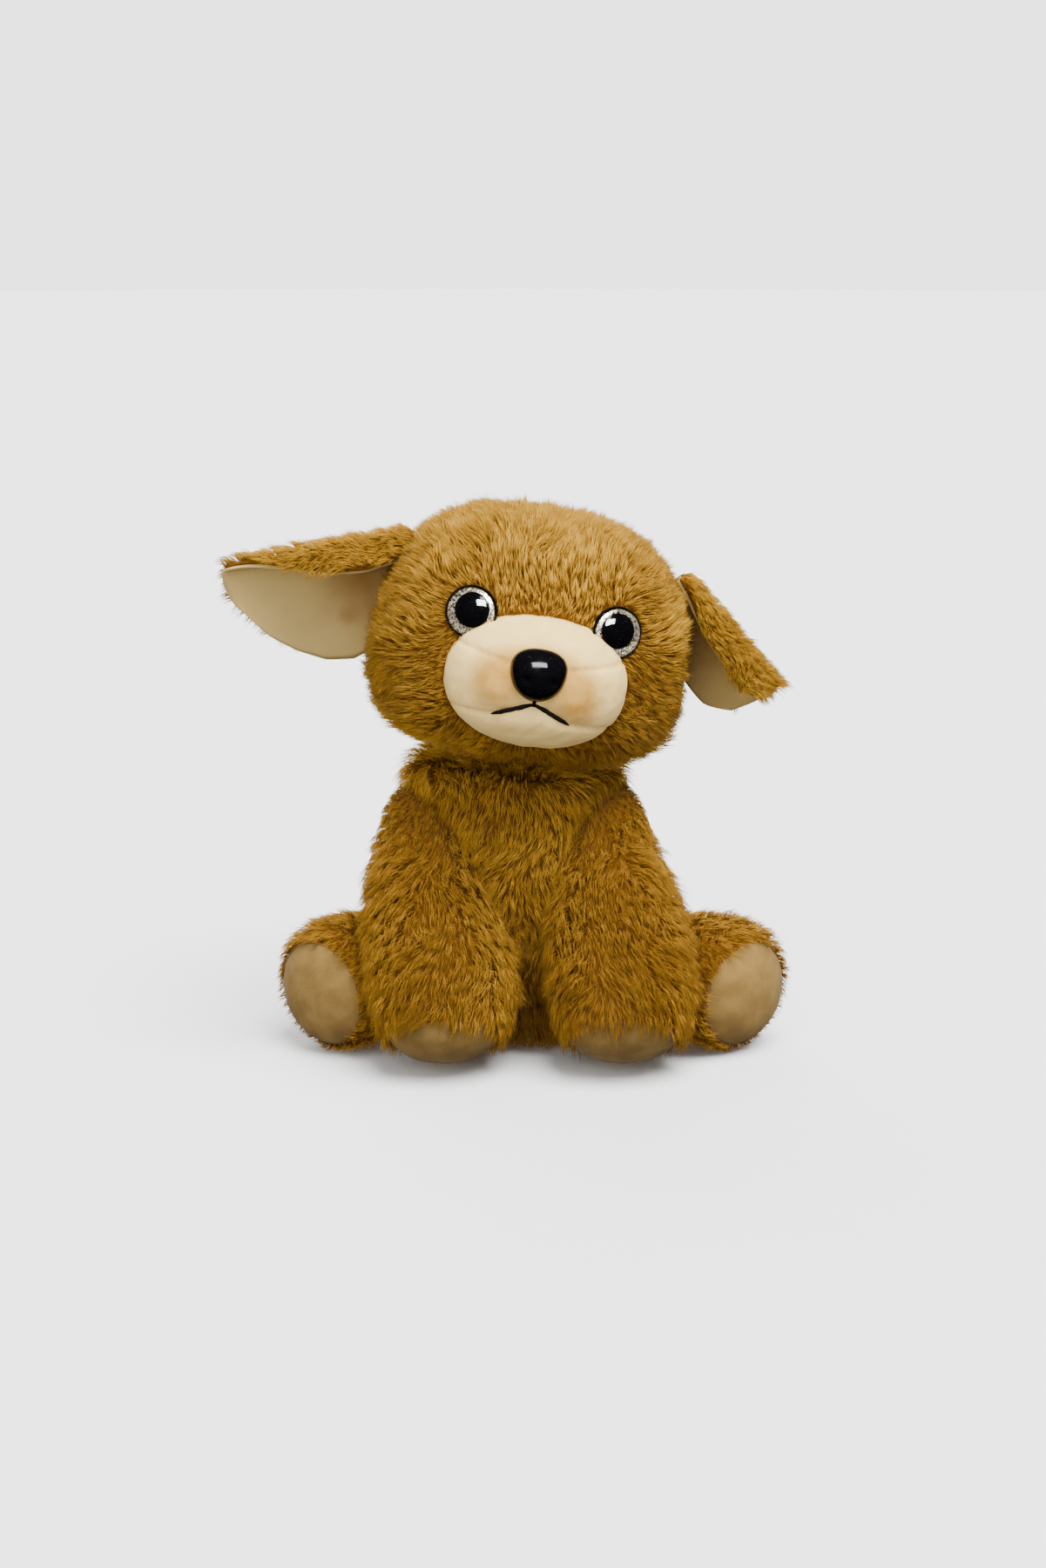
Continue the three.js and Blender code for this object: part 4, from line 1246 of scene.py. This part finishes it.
def on_muzzle(across, up, lift):
    """The point of the muzzle's skin straight behind a place on the face, lifted off it."""
    skin = bpy.data.objects["muzzle_skin"].data
    start = HEAD_FRAME @ Vector((across, -200 * MM, up))
    way = HEAD_FRAME.to_3x3() @ Vector((0, 1, 0))
    tree = BVHTree.FromPolygons([v.co for v in skin.vertices], [p.vertices for p in skin.polygons])
    place, normal = tree.ray_cast(start, way)[:2]
    return place + normal * lift


class DOG_OT_mouth(bpy.types.Operator):
    """Embroider the mouth into the valley between muzzle and chin"""

    bl_idname = "dog.mouth"
    bl_label = "Mouth"
    bl_options = {"REGISTER", "UNDO"}

    def execute(self, context):
        middle, low = MOUTH_AT
        shares = np.linspace(0.0, 1.0, 15)
        radii = [MM * min(1.0, 0.6 + 1.5 * t) * (1 - 0.75 * max(0, (t - 0.72) / 0.28) ** 2) for t in shares]
        parts = []
        for side in SIDES.values():
            stroke = []
            for t in shares:
                height = mouth_height(middle + MOUTH_HALF * t)
                stroke.append(on_muzzle(middle + side * MOUTH_HALF * t, height, 0.25 * MM))
            parts.append(tube(stroke, radii))
        rise = [on_muzzle(middle + 0.1 * MM, low + z * MM, 0.2 * MM) for z in (-0.8, 0.6, 2.2, 4.0)]
        parts.append(tube(rise, [0.75 * MM] * 4))
        piece = piece_of("mouth_embroidery", joined(*parts), thread_finish("mouth_thread", "thread"))
        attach(piece, "head")
        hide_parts("mouth_stitching")
        return {"FINISHED"}


class DOG_OT_nose(bpy.types.Operator):
    """Mould the nose"""

    bl_idname = "dog.nose"
    bl_label = "Nose"
    bl_options = {"REGISTER", "UNDO"}

    def execute(self, context):
        place = on_muzzle(*NOSE_AT, 0.0)
        out = (HEAD_FRAME.to_3x3() @ Vector((0.02, -1, 0.14))).normalized()
        rise = HEAD_FRAME.to_3x3() @ UP
        rise = (rise - out * rise.dot(out)).normalized()
        turn = Matrix((rise.cross(out), rise, out)).transposed().to_4x4()
        bm = even_ball(22, self.shape)
        bmesh.ops.transform(bm, matrix=Matrix.Translation(place - out * NOSE_SINK) @ turn, verts=bm.verts[:])
        nose = piece_of("nose_shell", bm, plastic_finish())
        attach(nose, "head")
        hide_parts("nose_button")
        refinish("nose_washer", washer_finish())
        return {"FINISHED"}

    def shape(self, direction):
        """A rounded block that narrows downwards, with two nostrils, a groove and a flat back."""
        point = rounded(direction, NOSE_HALF, NOSE_SQUARE)
        front = max(0.0, direction.z)
        height = (point.y / NOSE_HALF.y + 1) / 2
        point.x *= 0.62 + 0.38 * math.sqrt(max(height, 0))
        x, y = point.x / MM, point.y / MM
        for side in (-1, 1):
            nostril = math.exp(-((x - side * 5.2) / 2.1) ** 2 - ((y + 2.6) / 1.7) ** 2)
            point.z -= nostril * 1.3 * MM * front
        groove = math.exp(-(x / 0.8) ** 2) * max(0.0, -point.y / NOSE_HALF.y)
        point.z -= groove * 0.8 * MM * front
        if point.z < 0:
            point.z *= 0.3
        return point


class DOG_OT_eyes(bpy.types.Operator):
    """Turn the eyes: a black back, a glitter film, a pupil and a clear dome"""

    bl_idname = "dog.eyes"
    bl_label = "Eyes"
    bl_options = {"REGISTER", "UNDO"}

    def execute(self, context):
        for side, sign in SIDES.items():
            eye = f"{side}_eye"
            place = eye_frame(sign)
            inward = place @ Matrix.Translation(Vector((-sign * 0.9, 0.7, 0)) * MM)
            film, pupil = self.disc(9.6, 1.75, 2.35), self.disc(7.1, 2.7, 3.6)
            black = plastic_finish()
            self.turn_piece(f"{eye}_bezel", self.bezel(), place, black, "black_moulding", f"{eye}_post")
            self.turn_piece(f"{eye}_glitter", film, place, glitter_finish(), "glitter", f"{eye}_glitter_disc")
            self.turn_piece(f"{eye}_centre", pupil, inward, black, "black_moulding", f"{eye}_pupil")
            self.turn_piece(f"{eye}_lens", self.lens(), place, clear_finish(), "clear_dome", f"{eye}_dome")
            refinish(f"{eye}_washer", washer_finish())
        return {"FINISHED"}

    def turn_piece(self, name, rows, place, material, slot, node):
        """One turned part of an eye from rows in millimetres, in place of its CAD node."""
        bm = turned([(r * MM, z * MM) for r, z in rows], 56)
        bmesh.ops.transform(bm, matrix=place, verts=bm.verts[:])
        piece = piece_of(name, bm, material)
        piece.data.set_sharp_from_angle(angle=math.radians(40))
        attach(piece, "head")
        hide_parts(node)

    def bezel(self):
        """The black back plate with its raised rim and the barbed stem behind it."""
        return [(0, -13), (1.4, -13), (2.2, -11.4), (1.6, -11), (2.2, -8.4), (1.6, -8), (2.2, -1.5), (2.2, 0),
                (10.5, 0), (10.75, 0.5), (10.75, 1.7), (10.35, 2.1), (9.9, 1.7), (9.9, 1.4), (0, 1.4)]

    def disc(self, radius, low, high):
        """A thin disc with broken edges and a slightly raised middle."""
        rim = [(radius - 0.1, low), (radius, low + 0.1), (radius, high - 0.1), (radius - 0.12, high)]
        return [(0, low), *rim, (0, high + radius * 0.04)]

    def lens(self):
        """A dome with a wall and an open underside, as one closed shell."""
        outer = [(10.3 * math.cos(a), 2.0 + 5.2 * math.sin(a)) for a in np.linspace(0, math.pi / 2, 15)]
        inner = [(9.75 * math.cos(a), 2.0 + 4.4 * math.sin(a)) for a in np.linspace(math.pi / 2, 0, 15)]
        outer[-1], inner[0] = (0, 7.2), (0, 6.4)
        return [*inner, (9.75, 1.75), (10.3, 1.75), *outer]


class DOG_OT_ears(bpy.types.Operator):
    """Sew the ears from a pile leaf and a velour lining, folded over at the top"""

    bl_idname = "dog.ears"
    bl_label = "Ears"
    bl_options = {"REGISTER", "UNDO"}

    def execute(self, context):
        for side in SIDES:
            self.leaf(side, "lining", EAR_LINING_OFF, 1.2 * MM, lining_finish(side), "velour", 1.0 * MM)
            self.leaf(side, "pile", EAR_PILE_OFF, 1.3 * MM, painted_shade_backing_finish(), "pile_fabric", 0.0)
            self.tufts(side)
        return {"FINISHED"}

    def leaf(self, side, part, off, thick, finish, slot, extra):
        """One layer of the ear; extra is how far it stands out past the other layer's edge."""
        ear = EARS[side]
        flat = ((max(ear["hang"]) + max(ear["flap"])) * MM, ear["length"] * MM + EAR_TUCK)
        mean_width = (sum(ear["hang"]) + sum(ear["flap"])) / len(ear["hang"]) * MM
        bm = ear_sheet(side, off, extra)
        bmesh.ops.solidify(bm, geom=bm.faces[:], thickness=thick)
        bmesh.ops.recalc_face_normals(bm, faces=bm.faces[:])
        leaf = piece_of(f"{side}_ear_{part}_leaf", bm, finish)
        mean_width * flat[1] * 0.97
        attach(leaf, f"{side}_ear")
        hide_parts(f"{side}_ear_{part}")

    def tufts(self, side):
        """Pile on the ear's outer layer, combed to the tip and down."""
        bm = ear_sheet(side, EAR_PILE_OFF)
        ground = bpy.data.meshes.new("ear_ground")
        bm.to_mesh(ground)
        bm.free()
        hand = SIDES[side]
        combed = np.array(ear_frame(side))[:3, :3] @ (1.0, 0.0, -hand * 0.45)

        def flow(points, normals):
            return np.tile(combed, (len(points), 1))

        def length(points):
            return np.full(len(points), 0.74)

        def tone(points):
            return np.full(len(points), 0.16)

        grow_pile(f"{side}_ear_tufts", ground, f"{side}_ear", 9800, 31 + hand, flow, length, tone,
                  lift=(52, 16), floor=False, tuft=14)
        bpy.data.meshes.remove(ground)


STITCHES = 52


class DOG_OT_limbs(bpy.types.Operator):
    """Stuff the four legs, split each at its sole seam and grow the pile above it"""

    bl_idname = "dog.limbs"
    bl_label = "Legs"
    bl_options = {"REGISTER", "UNDO"}

    def execute(self, context):
        for kind in LIMBS:
            for side in SIDES:
                self.limb(kind, side)
        return {"FINISHED"}

    def limb(self, kind, side):
        """One leg's skin, sole, stitches and pile."""
        limb = LIMBS[kind]
        body = f"{side}_{kind}"
        place = limb_frame(*limb_places(kind, side))
        swell = sizes().swell
        bm = turned(limb_profile(limb, 0.7 * swell / MM), 40)
        bmesh.ops.transform(bm, matrix=place, verts=bm.verts[:])
        point = place @ Vector((0, 0, limb["seam"] * MM))
        way = (place.to_3x3() @ Vector((0, limb["slope"], 1))).normalized()

        def seam(place):
            return abs((place - point).dot(way)) < 2.0 * MM

        skin = stuffed(f"{body}_skin", bm, painted_shade_backing_finish(), 3.5 * MM, swell, seam)
        keep_above_floor(skin.data)
        if kind == "foreleg":
            slump(skin.data)
        sole = skin.copy()
        sole.data = skin.data.copy()
        sole.name = f"{body}_sole_pad"
        sole.data.name = f"{body}_sole_pad"
        bpy.context.scene.collection.objects.link(sole)
        sole.data.materials.clear()
        sole.data.materials.append(sole_finish())
        for part, outer in ((skin, True), (sole, False)):
            self.cut(part.data, point, way, outer)
            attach(part, body)
        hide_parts(f"{body}_cover", f"{body}_filling")
        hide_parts(f"{body}_sole")
        self.stitches(body, sole.data, point, way)
        self.grow(kind, side, skin.data, place, np.array(point), np.array(way))

    def grow(self, kind, side, skin, place, middle, way):
        """Pile above the seam, whose middle and direction are given."""
        body = f"{side}_{kind}"
        axis = np.array(place.to_3x3() @ UP)
        root = np.array(place.translation)
        sideways = np.array((SIDES[side] * 0.25, 0, -0.25))
        outward = np.array((SIDES[side], -0.3, -0.2))
        laid = {"foreleg": 0.75, "hindleg": 0.3}[kind]
        # Painted shade on the legs' pile, deeper on the left side.
        darker = {"left": 0.3, "right": 0.22}[side]

        def from_seam(points):
            return (middle - points) @ way

        def flow(points, normals):
            return axis + normals * 0.1 + sideways

        def length(points):
            start = np.clip(((points - root) @ axis + 22 * MM) / (45 * MM), 0.3, 1)
            low = clipped((16 * MM - points[:, 2]) / (16 * MM))
            if kind == "foreleg":
                return 1.14 * start * (1 - 0.35 * low)
            sewn = clipped(1 - from_seam(points) / (20 * MM))
            outer = clipped((points - middle) @ outward / (20 * MM))
            return 0.85 * start * (1 - 0.55 * low) * (1 - 0.6 * sewn * outer)

        def lay(points):
            """The pile lies flatter towards the sole and hangs over its seam."""
            return laid * clipped(1 - from_seam(points) / (22 * MM))

        def keep(points, normals):
            return (from_seam(points) > 1.2 * MM) * 1.0

        # Painted shade: the legs' pile is darker than the body's, and a little lighter higher up.
        def tone(points):
            return 0.07 * clipped(points[:, 2] / (100 * MM)) - darker

        count = LIMBS[kind]["strands"]
        grow_pile(f"{body}_pile", skin, body, count, 41 + number_of(body), flow, length, tone, keep, lay=lay)

    def cut(self, mesh, point, way, outer):
        """Keeps one side of the seam and closes the cut."""
        bm = bmesh.new()
        bm.from_mesh(mesh)
        bmesh.ops.bisect_plane(bm, geom=bm.verts[:] + bm.edges[:] + bm.faces[:], plane_co=point, plane_no=way,
                               clear_outer=outer, clear_inner=not outer)
        bmesh.ops.holes_fill(bm, edges=[e for e in bm.edges if e.is_boundary], sides=0)
        bmesh.ops.recalc_face_normals(bm, faces=bm.faces[:])
        bm.to_mesh(mesh)
        bm.free()

    def stitches(self, body, mesh, point, way):
        """Small slanted stitches round the rim of the sole."""
        bm = bmesh.new()
        bm.from_mesh(mesh)
        rim = [v.co.copy() for v in bm.verts if abs((v.co - point).dot(way)) < 0.02 * MM]
        bm.free()
        side = way.orthogonal().normalized()
        other = way.cross(side)
        spokes = [place - point for place in rim]
        rows = sorted((math.atan2(spoke.dot(other), spoke.dot(side)), spoke.length) for spoke in spokes)
        angles = [angle for angle, radius in rows]
        radii = [radius for angle, radius in rows]
        parts = []
        for k in range(STITCHES):
            turn = -math.pi + (k + 0.5) / STITCHES * 2 * math.pi
            radius = float(np.interp(turn, angles, radii))
            out = side * math.cos(turn) + other * math.sin(turn)
            along = way.cross(out)
            middle = point + out * (radius + 0.1 * MM)
            slant = (along * 0.9 + way * 0.5) * MM
            path = [middle + slant * t + out * (0.35 * MM * (1 - t * t)) for t in (-1, -0.4, 0.4, 1)]
            parts.append(tube(path, [0.12 * MM, 0.3 * MM, 0.3 * MM, 0.12 * MM], sides=5))
        piece = piece_of(f"{body}_sole_stitches", joined(*parts), thread_finish("sole_thread", "seam"))
        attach(piece, body)


def number_of(name):
    """The same small number for the same name in every run."""
    return sum(ord(letter) * (i + 1) for i, letter in enumerate(name)) % 1000


class DOG_OT_tail(bpy.types.Operator):
    """Stuff the tail and grow its pile"""

    bl_idname = "dog.tail"
    bl_label = "Tail"
    bl_options = {"REGISTER", "UNDO"}

    def execute(self, context):
        pivot = Vector(TAIL["pivot"]) * MM
        way = Vector(TAIL["way"]).normalized()
        place = limb_frame(pivot, pivot + way)
        bm = turned(limb_profile(TAIL, 0.8), 32)
        bmesh.ops.transform(bm, matrix=place, verts=bm.verts[:])
        skin = stuffed("tail_skin", bm, painted_shade_backing_finish(), 2.5 * MM, 1.0 * MM, lambda point: False)
        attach(skin, "tail")
        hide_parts("tail_cover", "tail_filling")
        axis = np.array(way)

        def flow(points, normals):
            return np.tile(axis, (len(points), 1))

        def length(points):
            return 0.85 + 0.15 * clipped((points - np.array(pivot)) @ axis / (40 * MM))

        grow_pile("tail_pile", skin.data, "tail", 5300, 61, flow, length)
        return {"FINISHED"}


class DOG_OT_neck(bpy.types.Operator):
    """Fill the neck and finish the thread that gathers the head's opening"""

    bl_idname = "dog.neck"
    bl_label = "Neck"
    bl_options = {"REGISTER", "UNDO"}

    def execute(self, context):
        neck = piece_of("neck_stuffing", even_ball(12, self.ball), painted_shade_backing_finish())
        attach(neck, "neck")
        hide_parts("neck_filling")
        refinish("neck_gathering_thread", thread_finish("sole_thread", "seam"))
        return {"FINISHED"}

    def ball(self, direction):
        """A slightly lumpy ball of filling."""
        lumps = 1 + 0.03 * math.sin(direction.x * 9) * math.cos(direction.y * 7)
        return NECK + direction * 13.6 * MM * lumps


class DOG_PT_panel(bpy.types.Panel):
    """Lists the dog's pieces and its sizes and colours"""

    bl_label = "Plush dog"
    bl_space_type = "VIEW_3D"
    bl_region_type = "UI"
    bl_category = "Plush dog"

    def draw(self, context):
        for operator in OPERATORS:
            self.layout.operator(operator.bl_idname)
        for group in (sizes(), colours()):
            for key in group.bl_rna.properties.keys():
                if key not in ("rna_type", "name"):
                    self.layout.prop(group, key)


OPERATORS = (DOG_OT_stage, DOG_OT_neck, DOG_OT_torso, DOG_OT_head, DOG_OT_muzzle, DOG_OT_nose, DOG_OT_mouth,
             DOG_OT_eyes, DOG_OT_ears, DOG_OT_limbs, DOG_OT_tail)
CLASSES = (DogSizes, DogColours, *OPERATORS, DOG_PT_panel)


def register():
    for each in CLASSES:
        bpy.utils.register_class(each)
    bpy.types.Scene.dog_sizes = PointerProperty(type=DogSizes)
    bpy.types.Scene.dog_colours = PointerProperty(type=DogColours)


def unregister():
    del bpy.types.Scene.dog_sizes
    del bpy.types.Scene.dog_colours
    for each in reversed(CLASSES):
        bpy.utils.unregister_class(each)


def main():
    register()
    for operator in OPERATORS:
        group, name = operator.bl_idname.split(".")
        getattr(getattr(bpy.ops, group), name)()


if __name__ == "__main__":
    main()
